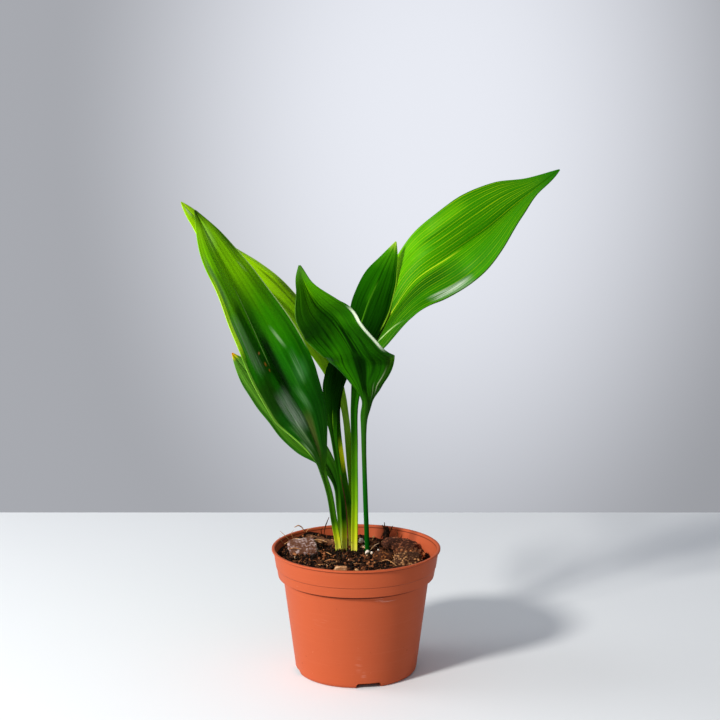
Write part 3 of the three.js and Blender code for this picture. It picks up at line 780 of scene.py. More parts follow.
def leaf_section(leaf, settings):
    """Points of a leaf's front and back skins, by station and column, and their growth marks"""
    rows = leaf["rows"]
    side_out = -1 if leaf.get("rib_in_front") else 1
    stalk_turn = STALK_TURN * side_out
    stalk = (leaf["stalk"], stalk_turn, stalk_turn)
    forms = [row[3:] if len(row) > 3 else stalk for row in rows]
    count = settings.stations * (len(rows) - 1) + 1
    t = np.linspace(0, 1, count)
    rib = catmull_rom([row[:3] for row in rows], t) * MM
    nudge = 1e-4
    ahead = catmull_rom([row[:3] for row in rows], t + nudge * (t < 0.5))
    behind = catmull_rom([row[:3] for row in rows], t - nudge * (t >= 0.5))
    along = unit(ahead - behind)
    across = unit(np.cross(along, FRONT))
    outwards = np.cross(across, along)
    width, left, right = catmull_rom(forms, t).T
    width = np.maximum(width, LEAST_HALF_WIDTH) * MM
    left, right = np.radians(left), np.radians(right)

    columns = np.linspace(-1, 1, 2 * settings.columns + 1)
    v = columns[None, :]
    share = np.abs(v)
    side = np.sign(v)
    turn = np.where(v < 0, left[:, None], right[:, None])
    w = width[:, None]
    points = rib[:, None]
    points = points + (side * share * w * np.cos(turn))[..., None] * across[:, None]
    points = points + (share * w * np.sin(turn))[..., None] * outwards[:, None]

    # The skin's normal turns from one half's to the other's over the width of the midrib
    halves = []
    for sign, angle in ((-1, left), (1, right)):
        normal = np.cos(angle)[:, None] * outwards - sign * np.sin(angle)[:, None] * across
        halves.append(normal[:, None])
    blend = smooth_step(v, -0.1, 0.1)[..., None]
    normal = unit(halves[0] * (1 - blend) + halves[1] * blend)

    first = next(i for i, row in enumerate(rows) if len(row) > 3) / (len(rows) - 1)
    steps = np.linalg.norm(np.diff(rib, axis=0), axis=1)
    run = np.concatenate([[0], np.cumsum(steps)])
    start = np.interp(first, t, run)
    u = np.clip((run - start) / (run[-1] - start), 0, 1)[:, None]
    widened = np.clip((w / MM - leaf["stalk"]) / STALK_FADE, 0, 1)
    stalkness = np.where(t[:, None] < STALK_END, 1 - widened, 0)

    # The pleats fade towards both ends of the blade, where it is narrow and beside the midrib
    calm = smooth_step(u, 0, 0.12) * smooth_step(u, 1, 0.85)
    calm = calm * np.minimum(w / (CALM_HALF_WIDTH * MM), 1)
    phase = 2 * math.pi * (PLEATS * share + 0.8 * u + 0.05 * np.cos(9 * u))
    ripple = np.sin(2 * math.pi * RIPPLES * u + np.pi * side) * smooth_step(share, 0.5, 1)
    wave = 0.55 * np.cos(phase) + 0.25 * np.cos(2.7 * phase) + ripple
    pleat = calm * settings.pleat * wave * smooth_step(share, 0, 0.12)
    bow = settings.bow * (1 - stalkness) * w * np.sin(math.pi * share)
    groove = np.exp(-((share * w / (GROOVE_HALF_WIDTH * MM)) ** 2)) * side_out
    height = bow + pleat - GROOVE_DEPTH * MM * (1 - stalkness) * groove
    points = points + height[..., None] * normal

    # The back skin stands off the front one by the blade, the keel and the stalk's round section
    depth = STALK_DEPTH * leaf["stalk"] * MM
    keel = settings.keel * (1 - u) * np.exp(-((share * w / (KEEL_HALF_WIDTH * MM)) ** 2))
    thickness = settings.thickness + (1 - stalkness) * keel
    thickness = thickness + stalkness * (depth - settings.thickness) * np.sqrt(1 - share**2)
    taper = np.clip(w / (2 * MM), 0.35, 1)
    below = points - (side_out * thickness * taper)[..., None] * normal
    growth = np.stack(np.broadcast_arrays(u, v, (rib[:, 2:] - SOIL_TOP) * 10), -1)
    skins = (below, points) if leaf.get("rib_in_front") else (points, below)
    return skins, growth


def leaf_faces(stations, columns):
    """Faces of a closed skin: front, back, both margins and both ends"""
    index = np.arange(2 * stations * columns).reshape(2, stations, columns)
    front, back = index
    rings = []

    def quads(a, b, c, d):
        rings.append(np.stack([x.ravel() for x in (a, b, c, d)], -1))

    quads(front[:-1, :-1], front[:-1, 1:], front[1:, 1:], front[1:, :-1])
    quads(back[:-1, :-1], back[1:, :-1], back[1:, 1:], back[:-1, 1:])
    quads(front[:-1, 0], front[1:, 0], back[1:, 0], back[:-1, 0])
    quads(front[:-1, -1], back[:-1, -1], back[1:, -1], front[1:, -1])
    quads(front[0, :-1], back[0, :-1], back[0, 1:], front[0, 1:])
    quads(front[-1, :-1], front[-1, 1:], back[-1, 1:], back[-1, :-1])
    return np.vstack(rings)


def leaf_finish(name, look):
    """Waxy skin with painted furrow shade, lengthwise veins, streaked bands with painted shade and painted
    light, painted sheens and a pale foot
    """
    finish = Finish(name)
    u, v, rise = finish.parts(finish.attribute("growth"))
    broad = finish.noise(finish.vector(u * 2, v * 8, 1), 1, 2)
    fine = finish.noise(finish.vector(u * 4, v * 26, 5), 1, 2)
    patch = finish.noise(finish.vector(u * 7, v * 2.5, 0))
    colour = finish.ramp(u + (patch - 0.5) * 0.12, screen_stops(look["greens"]))
    # painted shade: a dark green that the furrow streaks lay over the greens
    furrow_shade_green = tuple(0.25 * c for c in screen(look["greens"][2][1]))
    vein = screen(look["vein"])
    inside = u.step(0.8, 0.52) * u.step(0, 0.08) * 0.9 + 0.1
    colour = finish.mix(broad.step(0.52, 0.3) * inside * look["dark"], colour, furrow_shade_green)
    colour = finish.mix(fine.step(0.46, 0.28) * inside * look["dark"], colour, furrow_shade_green)
    colour = finish.mix(fine.step(0.54, 0.72) * inside * look["pale"], colour, vein)

    # the strokes paint real streaks and specks, and also painted shade and painted light
    for *band, tone, share in look["strokes"]:
        half = band[4]
        grain = fine * 0.6 + 0.6 if half > NARROW_STROKE else 1
        colour = finish.mix(stroke(u, v, *band) * grain * share, colour, screen(tone))
    # dark lines are painted shade of thin furrows; pale ones are veins
    count, strength, tone = look["lines"]
    phase = (v * count + broad * 0.9) * math.pi
    line = (phase * 2).cosine().step(0.55, 1) * (phase.cosine() * 0.3 + 0.7)
    line = line * (patch.step(0.3, 0.6) * 0.6 + 0.4) * (1 - v.step(-0.1, 0.5) * 0.4)
    line = line * u.step(0.98, 0.86) * u.step(0.05, 0.15)
    colour = finish.mix(line * strength, colour, screen(tone))

    gloss = 0
    hair = finish.noise(finish.vector(u * 6, v * 60, 3), 1, 2)
    brushed = (fine * 0.4 + hair * 0.6).step(0.43, 0.56) * 0.88 + 0.12
    # painted sheen in fine brushed lines; the same masks give a little real coat gloss
    for *band, tone, share in look["painted_sheens"]:
        mask = stroke(u, v, *band)
        colour = finish.mix(mask * brushed * share, colour, screen(tone))
        gloss = mask.largest(gloss)

    top = look["foot_top"]
    foot = finish.ramp(rise, screen_stops(look["foot"]))
    colour = finish.mix(rise.step(top, top * 0.7), colour, foot)
    spot = finish.noise(finish.vector(rise * 30, v * 2, 2), 1, 2).step(0.6, 0.7)
    colour = finish.mix(spot * rise.step(0.16, 0.02) * 0.7, colour, screen(SPOT_BROWN))

    values = {
        "Base Color": colour,
        "Roughness": broad * 0.2 + (look["roughness"] - 0.1),
        "Specular IOR Level": look["specular"],
        "Normal": finish.bump(fine * 0.5 + broad * 0.8, 0.15 * MM, 0.5),
    }
    if look["painted_sheens"]:
        values["Coat Weight"] = gloss * 0.2
        values["Coat Roughness"] = 0.35
    return finish.surface(values, screen(look["through"]), look["light"])


def screen_stops(stops):
    return [(position, screen(colour)) for position, colour in stops]


def stroke(u, v, u0, v0, u1, v1, half, solid):
    """1 in a band between two places of a blade, fading over the part of it that isn't solid"""
    slope = (v1 - v0) / (u1 - u0)
    away = abs(v - (u * slope + (v0 - slope * u0)))
    low, high = sorted((u0, u1))
    return away.step(half, half * solid) * u.band(low, high, min(STROKE_FADE, (high - low) / 2))


class PLANT_OT_leaves(bpy.types.Operator):
    """Builds each leaf with its pleats, midrib and grooved stalk"""

    bl_idname = "plant.leaves"
    bl_label = "Leaves"

    def execute(self, context):
        settings = context.scene.plant_leaf
        for name, leaf in LEAVES.items():
            (front, back), growth = leaf_section(leaf, settings)
            stations, columns = front.shape[:2]
            points = np.concatenate([front.reshape(-1, 3), back.reshape(-1, 3)])
            marks = {"growth": np.concatenate([growth.reshape(-1, 3)] * 2)}
            finish = leaf_finish(name + "_skin", LEAF_LOOKS[name])
            made = new_object(name + "_grown", points, leaf_faces(stations, columns), finish, marks)
            dress(made, "leaf", name)
        return {"FINISHED"}


# Pot


def round_corners(corners, steps=4):
    """A profile of [radius, height, rounding] corners, with an arc in place of each corner"""
    path = []
    for i, (radius, height, rounding) in enumerate(corners):
        here = Vector((radius, height))
        if rounding == 0 or i in (0, len(corners) - 1):
            path.append(here)
            continue
        before = Vector(corners[i - 1][:2])
        after = Vector(corners[i + 1][:2])
        start = here + (before - here).normalized() * min(rounding, (before - here).length / 2)
        end = here + (after - here).normalized() * min(rounding, (after - here).length / 2)
        for k in range(steps + 1):
            s = k / steps
            path.append(start.lerp(here, s).lerp(here.lerp(end, s), s))
    return path


def lathe(path, segments):
    """Points and faces of a closed solid turned round Z, with both ends of the path on the axis"""
    angles = np.linspace(0, 2 * math.pi, segments, endpoint=False)
    points = [(0, 0, path[0].y)]
    for ring in path[1:-1]:
        points += [(ring.x * math.cos(a), ring.x * math.sin(a), ring.y) for a in angles]
    points.append((0, 0, path[-1].y))
    return points, turned_faces(len(path) - 2, segments)


# Sizes of the pot that its settings leave out, in millimetres
COLLAR_BOTTOM = 75.5
COLLAR_BOTTOM_RADIUS = 60
COLLAR_LINE = 83
COLLAR_LINE_RADIUS = 61.3
COLLAR_LINE_DEPTH = 0.45
BODY_TOP_RADIUS = 56.3
BODY_BOTTOM_RADIUS = 46.9
FLOOR_TOP = 3.2
FOOT_DISC_RADIUS = 14
FOOT_RING_RADII = (36, 45.2)
FOOT_RECESS = 1.5
RIM_WIDTH = 2.4
NOTCHES = 4
NOTCH_SIZE = (14, 19, 8.2)  # half of its height lies below the foot
NOTCH_RADIUS = 45
NOTCH_AZIMUTH = -78  # degrees from +X
POT_SEGMENTS = 256


def pot_profile(pot):
    """Corners from the middle of the foot up, over the lip and down the inside, in millimetres"""
    rim, top, wall = pot.rim_radius / MM, pot.height / MM, pot.wall / MM
    ring_inside, ring_outside = FOOT_RING_RADII
    shelf = COLLAR_BOTTOM + wall
    return [
        (0, 0, 0),
        (FOOT_DISC_RADIUS, 0, 0.4),
        (FOOT_DISC_RADIUS + 1, FOOT_RECESS, 0.4),
        (ring_inside - 1, FOOT_RECESS, 0.4),
        (ring_inside, 0, 0.4),
        (ring_outside, 0, 1.2),
        (BODY_BOTTOM_RADIUS, 2.2, 1.6),
        (BODY_TOP_RADIUS, COLLAR_BOTTOM, 0.5),
        (COLLAR_BOTTOM_RADIUS, COLLAR_BOTTOM, 0.35),
        (COLLAR_LINE_RADIUS, COLLAR_LINE, 0.3),
        (COLLAR_LINE_RADIUS + COLLAR_LINE_DEPTH, COLLAR_LINE + 0.4, 0.3),
        (rim - 1.5, top - 2.2, 0.3),
        (rim - 1.3, top - 1.7, 0.2),
        (rim - 0.1, top - 1.5, 0.4),
        (rim, top, 0.8),
        (rim - RIM_WIDTH, top, 0.8),
        (COLLAR_BOTTOM_RADIUS - wall, shelf, 0.8),
        (BODY_TOP_RADIUS - wall, shelf, 0.8),
        (BODY_BOTTOM_RADIUS - wall, FLOOR_TOP, 1.5),
        (0, FLOOR_TOP, 0),
    ]


# Painted shadow lines of the pot, under the collar, under the step of its line and at the foot of the lip:
# height and half width in millimetres, and strength
POT_SHADOW_LINES = ((74.2, 1.3, 1.0), (83.1, 0.4, 0.6), (95.6, 0.6, 0.85))

# Chalky scuffs of the pot: the middle and the reach of each, in metres, and its strength
POT_SCUFFS = (
    ((0.023, -0.0515, 0.0715), (0.012, 0.02, 0.0025), 0.7),
    ((0.002, -0.048, 0.022), (0.004, 0.02, 0.012), 0.08),
    ((0.006, -0.047, 0.008), (0.003, 0.02, 0.008), 0.12),
    ((-0.026, -0.0455, 0.0525), (0.008, 0.02, 0.005), 0.1),
)


# Colours over the pot's plastic
DUSTY_RED = (0.4, 0.088, 0.04)
RING_PINK = (0.8, 0.3, 0.18)
PALE_SPECK = (0.85, 0.45, 0.3)
DARK_SPECK = (0.16, 0.03, 0.012)
SHADOW_LINE_BROWN = (0.055, 0.008, 0.004)
CHALK = (0.9, 0.62, 0.52)


def cut(target, cutters):
    """Takes the cutters out of the target and removes them"""
    for cutter in cutters:
        modifier = target.modifiers.new("notch", "BOOLEAN")
        modifier.object = cutter
        modifier.operation = "DIFFERENCE"
        modifier.solver = "EXACT"
    graph = bpy.context.evaluated_depsgraph_get()
    mesh = bpy.data.meshes.new_from_object(target.evaluated_get(graph))
    target.modifiers.clear()
    target.data = mesh
    for cutter in cutters:
        bpy.data.objects.remove(cutter)


def pot_finish(pot):
    """Satin plastic with faint lathe lines, scuffs, dusty marks and painted shadow lines under the collar,
    its step and the lip
    """
    finish = Finish("pot_plastic")
    place = finish.place()
    x, y, z = finish.parts(place)
    colour = tuple(pot.colour)
    cloud = finish.noise(place, 28.0, 3.0)
    grain = finish.noise(place, 700.0, 3.0)
    rings = finish.noise(finish.scaled(place, (20.0, 20.0, 900.0)), 1.0, 2.0)
    base = finish.mix(cloud.step(0.25, 0.75) * 0.22, colour, DUSTY_RED)
    base = finish.mix(rings.step(0.5, 0.75) * 0.03, base, RING_PINK)
    speck = finish.noise(place, 330.0, 1.0)
    base = finish.mix(speck.step(0.76, 0.84) * 0.15, base, PALE_SPECK)
    base = finish.mix(speck.step(0.24, 0.19) * 0.5, base, DARK_SPECK)
    # painted shadow: dark lines under the collar, its step and the lip
    for height, half, strength in POT_SHADOW_LINES:
        line = abs(z - height * MM).step(half * MM, 0)
        base = finish.mix(line * strength, base, SHADOW_LINE_BROWN)
    scratch = finish.noise(finish.scaled(place, (70.0, 70.0, 900.0)), 1.0, 3.0).step(0.5, 0.62)
    chalk = 0
    for at, reach, strength in POT_SCUFFS:
        offset = finish.add("ShaderNodeVectorMath", {"operation": "SUBTRACT"}, (place, at))
        away = finish.add(
            "ShaderNodeVectorMath",
            {"operation": "LENGTH"},
            (finish.scaled(offset, tuple(1 / r for r in reach)),),
            "Value",
        )
        chalk = away.step(1, 0.2) * scratch * strength + chalk
    base = finish.mix(chalk.smallest(1), base, CHALK)
    values = {
        "Base Color": base,
        "Roughness": cloud * 0.1 + chalk * 0.2 + 0.4,
        "Specular IOR Level": 0.06,
        "Normal": finish.bump(grain * 0.5 + rings * 0.2, 0.05 * MM, 0.5),
    }
    return finish.surface(values)


def notch(azimuth):
    """A block with rounded edges that stands where a notch is cut"""
    bm = bmesh.new()
    bmesh.ops.create_cube(bm, size=1)
    bmesh.ops.scale(bm, vec=Vector(NOTCH_SIZE) * MM, verts=bm.verts)
    level = [e for e in bm.edges if abs(e.verts[0].co.y - e.verts[1].co.y) < 1e-6]
    bmesh.ops.bevel(bm, geom=level, offset=1 * MM, segments=3, affect="EDGES")
    bmesh.ops.translate(bm, vec=(NOTCH_RADIUS * MM, 0, 0), verts=bm.verts)
    bmesh.ops.rotate(bm, matrix=Matrix.Rotation(azimuth, 3, "Z"), verts=bm.verts)
    mesh = bpy.data.meshes.new("notch")
    bm.to_mesh(mesh)
    bm.free()
    block = bpy.data.objects.new("notch", mesh)
    bpy.context.scene.collection.objects.link(block)
    return block


class PLANT_OT_pot(bpy.types.Operator):
    """Builds the pot with its lip, collar, foot and drainage notches"""

    bl_idname = "plant.pot"
    bl_label = "Pot"

    def execute(self, context):
        pot = context.scene.plant_pot
        points, faces = lathe(round_corners(pot_profile(pot)), POT_SEGMENTS)
        made = new_object("nursery_pot", np.array(points) * MM, faces, pot_finish(pot))
        turns = [NOTCH_AZIMUTH + 360 / NOTCHES * i for i in range(NOTCHES)]
        cut(made, [notch(math.radians(turn)) for turn in turns])
        made.data.shade_smooth()
        made.data.set_sharp_from_angle(angle=math.radians(35))
        dress(made, "pot_plastic", "pot")
        return {"FINISHED"}


# Potting mix


# The surface of the mix, in millimetres: its level in the middle and its slope to +X and +Y, and
# the place, the radius and the height of the mound round the stalks and of the heap at the wall
SOIL_LEVEL = 88.6
SOIL_SLOPE = (-0.06, 0.01)
SOIL_MOUNDS = ((-4, 17, 22, 2), (-40, 50, 13, 5))
SOIL_RADIUS = 61.3
SOIL_EDGE = 3  # width of the band at the wall where the lumps fade out
SOIL_RINGS = 90
SOIL_SPOKES = 220
SOIL_GAPS = (0.3, 0.4)  # from the pot: across, and above its floor and its shelf


def soil_height(x, y):
    """Height of the potting mix, in millimetres, before its crumbs"""
    height = SOIL_LEVEL + SOIL_SLOPE[0] * x + SOIL_SLOPE[1] * y
    for at_x, at_y, radius, rise in SOIL_MOUNDS:
        height += rise * math.exp(-((math.hypot(x - at_x, y - at_y) / radius) ** 2))
    return height


def rough_height(x, y):
    """Height of the lumpy surface, in millimetres"""
    broad = noise.fractal(Vector((x / 7, y / 7, 3.1)), 0.6, 2.1, 4)
    fine = noise.fractal(Vector((x / 1.8, y / 1.8, 7.7)), 0.7, 2.0, 3)
    return soil_height(x, y) - 1.2 + 2.3 * broad + 0.9 * fine


# Colours of the mix from its near-black ground, which is also painted shade in the gaps between the
# crumbs, 0, to its white grains, 1
SOIL_COLOURS = (
    (0, (0.003, 0.0012, 0.0006)),
    (0.3, (0.009, 0.0034, 0.0015)),
    (0.48, (0.052, 0.0165, 0.006)),
    (0.64, (0.21, 0.068, 0.024)),
    (0.76, (0.4, 0.15, 0.056)),
    (0.92, (0.62, 0.33, 0.13)),
    (1, (0.86, 0.78, 0.68)),
)
# the ground between the crumbs is near black: the dark mix, and painted shade in the gaps
GROUND_AND_GAP_SHADE_TINT = 0.22  # place of the ground between the crumbs on these colours


def soil_finish():
    """Damp bark mix: near black with red-brown, golden and pale grains; the near-black ground between the
    crumbs is also painted shade in the gaps
    """
    finish = Finish("potting_mix")
    tint, _, _ = finish.parts(finish.attribute("tint"))
    place = finish.place()
    fleck = finish.noise(place, 900.0, 4.0, 0.7)
    mark = (tint + (fleck - 0.5) * 0.5).largest(0).smallest(1)
    values = {
        "Base Color": finish.ramp(mark, SOIL_COLOURS),
        "Roughness": fleck * 0.4 + 0.5,
        "Specular IOR Level": 0.1,
        "Normal": finish.bump(finish.noise(place, 1500.0, 4.0, 0.7), 0.35 * MM, 0.9),
    }
    return finish.surface(values)


def soil_points(pot):
    """The top of the potting mix in rings out to the wall, then its side and its floor"""
    across, above = SOIL_GAPS
    wall = pot.wall / MM
    shelf = COLLAR_BOTTOM + wall
    shelf_radius = COLLAR_BOTTOM_RADIUS - wall
    floor = FLOOR_TOP + above
    lean = (pot.rim_radius / MM - RIM_WIDTH - shelf_radius) / (pot.height / MM - shelf)
    turns = [2 * math.pi * j / SOIL_SPOKES for j in range(SOIL_SPOKES)]
    points = [(0, 0, rough_height(0, 0))]
    for i in range(1, SOIL_RINGS + 1):
        radius = SOIL_RADIUS * i / SOIL_RINGS
        edge = smooth_step(radius, SOIL_RADIUS - SOIL_EDGE, SOIL_RADIUS)
        for angle in turns:
            x, y = radius * math.cos(angle), radius * math.sin(angle)
            rough = rough_height(x, y)
            limit = shelf_radius + lean * (rough - shelf) - above
            shrink = min(1, limit / radius)
            height = rough * (1 - edge) + (soil_height(x, y) - 0.6) * edge
            points.append((x * shrink, y * shrink, height))
    for radius, height in (
        (shelf_radius, shelf + above),
        (BODY_TOP_RADIUS - wall, shelf + above),
        (BODY_BOTTOM_RADIUS - wall, floor),
    ):
        inside = radius - across
        points += [(inside * math.cos(a), inside * math.sin(a), height) for a in turns]
    points.append((0, 0, floor))
    return np.array(points) * MM


CRUMB_FACETS = 9
CRUMB_SHAPES = 8
CRUMB_REACH = 59  # of the crumbs and the grit from the middle, in millimetres
FIBRE_REACH = 55
FIBRE_STEPS = 8
STRAW_POINTS = 14


def crumb_shapes(count, draw, subdivisions=2):
    """Points of a few angular crumbs of radius about 1, and the faces that they share"""
    bm = bmesh.new()
    bmesh.ops.create_icosphere(bm, subdivisions=subdivisions, radius=1)
    ball, faces = points_and_faces(bm)
    shapes = []
    for _ in range(count):
        seed = Vector((draw.uniform(0, 90), draw.uniform(0, 90), 0))
        facets = [[draw.gauss(0, 1) for _ in range(3)] for _ in range(CRUMB_FACETS)]
        facets = unit(np.array(facets))
        depths = np.array([draw.uniform(0.5, 0.95) for _ in facets])
        reach = depths / np.maximum(ball @ facets.T, 0.3)
        rough = [0.22 * noise.noise(Vector(p) * 4 + seed) for p in ball]
        shapes.append(ball * (np.minimum(reach.min(axis=1), 1.5) + rough)[:, None])
    return shapes, faces


def crumb_tint(draw):
    """A random place on the scale of the soil's colours, mostly dark"""
    kind = draw.random()
    for share, low, high in ((0.44, 0.08, 0.42), (0.78, 0.42, 0.60), (0.96, 0.60, 0.74)):
        if kind < share:
            return draw.uniform(low, high)
    return draw.uniform(0.76, 0.93)


# Straws, roots and twigs: points in millimetres, radius and place on the soil's colours
STRAWS = (
    (((-41, 47, 95), (-43, 46, 99.5), (-46, 44, 102), (-49, 42, 101)), 0.5, 0.84),
    (((-40, 46, 96), (-38, 44, 99), (-36, 42, 100)), 0.4, 0.86),
    (((-52, 31, 93), (-56, 29, 98), (-60, 28, 102)), 0.25, 0.88),
    (((-49, 33, 93), (-51, 31, 99), (-49.5, 30, 102)), 0.22, 0.86),
    (((-56, 22, 92), (-59, 20, 97), (-60, 18, 100)), 0.2, 0.9),
    (((-26, 47, 91), (-25, 46, 99), (-23.5, 45, 104), (-21.5, 44, 109)), 0.45, 0.50),
    (((-27, 46, 92), (-28, 45, 97), (-27, 44, 100)), 0.4, 0.42),
    (((-56, 19, 94), (-50, 20.5, 97), (-45, 20.5, 97.8), (-39, 20, 97.2)), 0.55, 0.88),
    (((-37, 20.5, 95.8), (-32, 20, 96.4), (-27, 19, 95)), 0.55, 0.86),
    (((-52, 4, 94), (-48, 3, 95.5), (-43, 1.5, 95)), 0.35, 0.82),
    (((-6, 15, 91), (-6.6, 15.6, 106), (-8.2, 16.5, 128), (-12.3, 17.5, 150)), 0.5, 0.52),
    (((-35, 27, 94.5), (-30, 27, 95.5), (-23, 25, 94)), 0.35, 0.90),
    (((11, 14, 90.4), (14, 22, 91.5), (18, 29, 91.8)), 0.5, 0.92),
    (((3, 19, 91.5), (6, 17, 92), (9.5, 12.5, 91.2)), 0.7, 0.93),
    (((4, 22, 92), (8, 19, 92.4), (10, 16, 91.5)), 0.6, 0.95),
    (((20, 51, 90), (22.5, 50, 96), (21, 49, 101)), 0.7, 0.52),
    (((24, 51, 90), (27, 50, 95), (29, 50, 100)), 0.6, 0.55),
    (((26, 50, 92), (23, 50, 98), (22.5, 50, 103)), 0.5, 0.45),
    (((30, 47, 90), (33, 46, 94), (32, 45, 97)), 0.5, 0.6),
    (((-24, -18, 91), (-19, -20, 93.2), (-14, -19, 92)), 0.4, 0.78),
    (((18, -12, 89), (24, -14, 91), (30, -20, 89)), 0.35, 0.82),
)
# White and golden grains: their places and radii in millimetres and places on the colours
WHITE_GRAINS = (
    (9, 5.5, 91, 1.5, 1.0),
    (12, 5, 90.6, 1.0, 1.0),
    (3.5, 37, 91.8, 1.7, 0.97),
    (7.5, 33, 91.2, 1.1, 0.95),
    (17, 14, 90.6, 0.8, 1.0),
    (-10, -37, 90.5, 0.7, 0.97),
    (-47, -10, 92, 0.6, 0.97),
)


def in_pot(draw, limit):
    """A random place on the soil, no further than limit millimetres from the middle"""
    radius = limit * math.sqrt(draw.random())
    angle = draw.uniform(0, 2 * math.pi)
    return radius * math.cos(angle), radius * math.sin(angle)


def turned_by(draw, flat):
    tilt = 0.35 if flat else math.pi
    euler = Euler((draw.uniform(-tilt, tilt), draw.uniform(-tilt, tilt), draw.uniform(0, 6.3)))
    return np.array(euler.to_matrix())


class PLANT_OT_soil(bpy.types.Operator):
    """Builds the lumpy surface of the potting mix and the body of it below"""

    bl_idname = "plant.soil"
    bl_label = "Potting mix"

    def execute(self, context):
        points = soil_points(context.scene.plant_pot)
        turned = turned_faces(SOIL_RINGS + 3, SOIL_SPOKES)
        faces = [(first, *others[::-1]) for first, *others in turned]
        # the ground's near black is also painted shade in the gaps between crumbs
        marks = {"tint": np.tile((GROUND_AND_GAP_SHADE_TINT, 0, 0), (len(points), 1))}
        made = new_object("potting_mix", points, faces, soil_finish(), marks)
        dress(made, "soil", "soil")
        return {"FINISHED"}


class PLANT_OT_litter(bpy.types.Operator):
    """Scatters crumbs of bark, fibres and grit over the potting mix"""

    bl_idname = "plant.litter"
    bl_label = "Crumbs and fibres"

    def execute(self, context):
        soil = context.scene.plant_soil
        draw = random.Random(soil.seed)
        material = bpy.data.materials["potting_mix"]
        self.crumbs(soil, draw, material)
        self.fibres(soil, draw, material)
        return {"FINISHED"}

    def crumbs(self, soil, draw, material):
        """Larger crumbs in one mesh and fine grit in another"""
        for name, number, level, low, high in (
            ("bark_crumbs", soil.crumbs, 2, 0.6, 2.1),
            ("grit", soil.grit, 1, 0.28, 0.85),
        ):
            shapes, faces = crumb_shapes(CRUMB_SHAPES, draw, level)
            pile = Pile()
            for _ in range(number):
                x, y = in_pot(draw, CRUMB_REACH)
                size = soil.crumb_size * (low + (high - low) * draw.random() ** 2)
                shape = draw.choice(shapes) * (
                    draw.uniform(0.8, 1.5),
                    draw.uniform(0.7, 1.1),
                    draw.uniform(0.5, 1.0),
                )
                shape = shape @ turned_by(draw, size > soil.crumb_size).T * size
                height = rough_height(x, y) * MM + draw.uniform(-0.2, 0.8) * size
                pile.add(shape + (x * MM, y * MM, height), faces, (crumb_tint(draw), 0, 0))
            dress(pile.build(name, material, math.radians(24)), "soil")

    def fibres(self, soil, draw, material):
        """Random slivers, and the straws, roots and white grains that stand out"""
        pile = Pile()
        for _ in range(soil.fibres):
            x, y = in_pot(draw, FIBRE_REACH)
            angle = draw.uniform(0, 2 * math.pi)
            length = draw.uniform(3, 11) * MM
            radius = draw.uniform(0.12, 0.34) * MM
            curl = draw.uniform(-1.2, 1.2)
            rise = draw.uniform(-0.1, 0.35)
            tint = (draw.choice((0.5, 0.6, 0.7, 0.85, 0.9)), 0, 0)
            path = [np.array([x * MM, y * MM, rough_height(x, y) * MM + 0.3 * MM])]
            for k in range(FIBRE_STEPS):
                heading = angle + curl * k / FIBRE_STEPS
                lift = rise * (1 - 1.6 * k / FIBRE_STEPS)
                move = np.array([math.cos(heading), math.sin(heading), lift]) * length
                path.append(path[-1] + move / FIBRE_STEPS)
            pile.add(*tube(path, radius, 5), tint)
        for points, radius, tint in STRAWS:
            path = catmull_rom(points, np.linspace(0, 1, STRAW_POINTS)) * MM
            pile.add(*tube(path, radius * MM, 6), (tint, 0, 0))
        shapes, faces = crumb_shapes(len(WHITE_GRAINS), draw)
        for shape, (x, y, z, size, tint) in zip(shapes, WHITE_GRAINS):
            pile.add(shape * size * MM + np.array((x, y, z)) * MM, faces, (tint, 0, 0))
        dress(pile.build("fibres", material), "soil")


def tube(path, radius, sides):
    """A thin closed tube along a path, tapering to its ends"""
    path = np.asarray(path)
    along = unit(np.gradient(path, axis=0))
    hint = np.array([0.31, 0.17, 0.94])
    first = unit(np.cross(along, hint))
    second = np.cross(along, first)
    angles = np.linspace(0, 2 * math.pi, sides, endpoint=False)
    taper = 0.35 + 0.65 * np.sin(np.linspace(0.25, math.pi - 0.25, len(path)))
    ring = np.cos(angles)[None, :, None] * first[:, None] + np.sin(angles)[None, :, None] * second[:, None]
    points = (path[:, None] + ring * (radius * taper)[:, None, None]).reshape(-1, 3)
    faces = ring_quads(len(path), sides)
    last = (len(path) - 1) * sides
    for k in range(1, sides - 1):
        faces.append((0, k + 1, k))
        faces.append((last, last + k, last + k + 1))
    return points, faces


# Bark


BARK_CUTS = 31
EGG_RADIUS = 0.62  # as a share of the block's length
RIB_SPACING = 3.4  # millimetres
CRACK_BROWN = (0.012, 0.004, 0.002)


def bark_finish(name, chip):
    """Weathered bark: grains, dark cracks and pale worn ridges"""
    finish = Finish(name)
    dark, light = chip["colours"]
    ridge, cell, _ = finish.parts(finish.attribute("tint"))
    run = finish.attribute("run")
    streak = finish.noise(finish.scaled(run, (0.35, 1.6, 1.6)), 1.0, 5.0, 0.65)
    speck = finish.noise(run, 1.5, 3.0, 0.7)
    blot = finish.noise(run, 0.28, 3.0)
    worn = ridge * 0.8 + (streak - 0.5) * 1.0 + (blot - 0.5) * 1.8 + (cell - 0.5) * chip["grain"]
    # on bark_left the pale ridge colour and the whitish specks are partly painted sheen
    colour = finish.mix(worn.step(0.1, 1.0), dark, light)
    colour = finish.mix(speck.step(0.40, 0.30) * 0.75, colour, CRACK_BROWN)
    colour = finish.mix(speck.step(0.60, 0.75) * 0.35, colour, chip["speck"])
    values = {
        "Base Color": colour,
        "Roughness": streak * 0.25 + chip["roughness"],
        "Specular IOR Level": 0.15,
        "Normal": finish.bump(streak + speck, 0.5 * MM, 0.8),
    }
    return finish.surface(values)


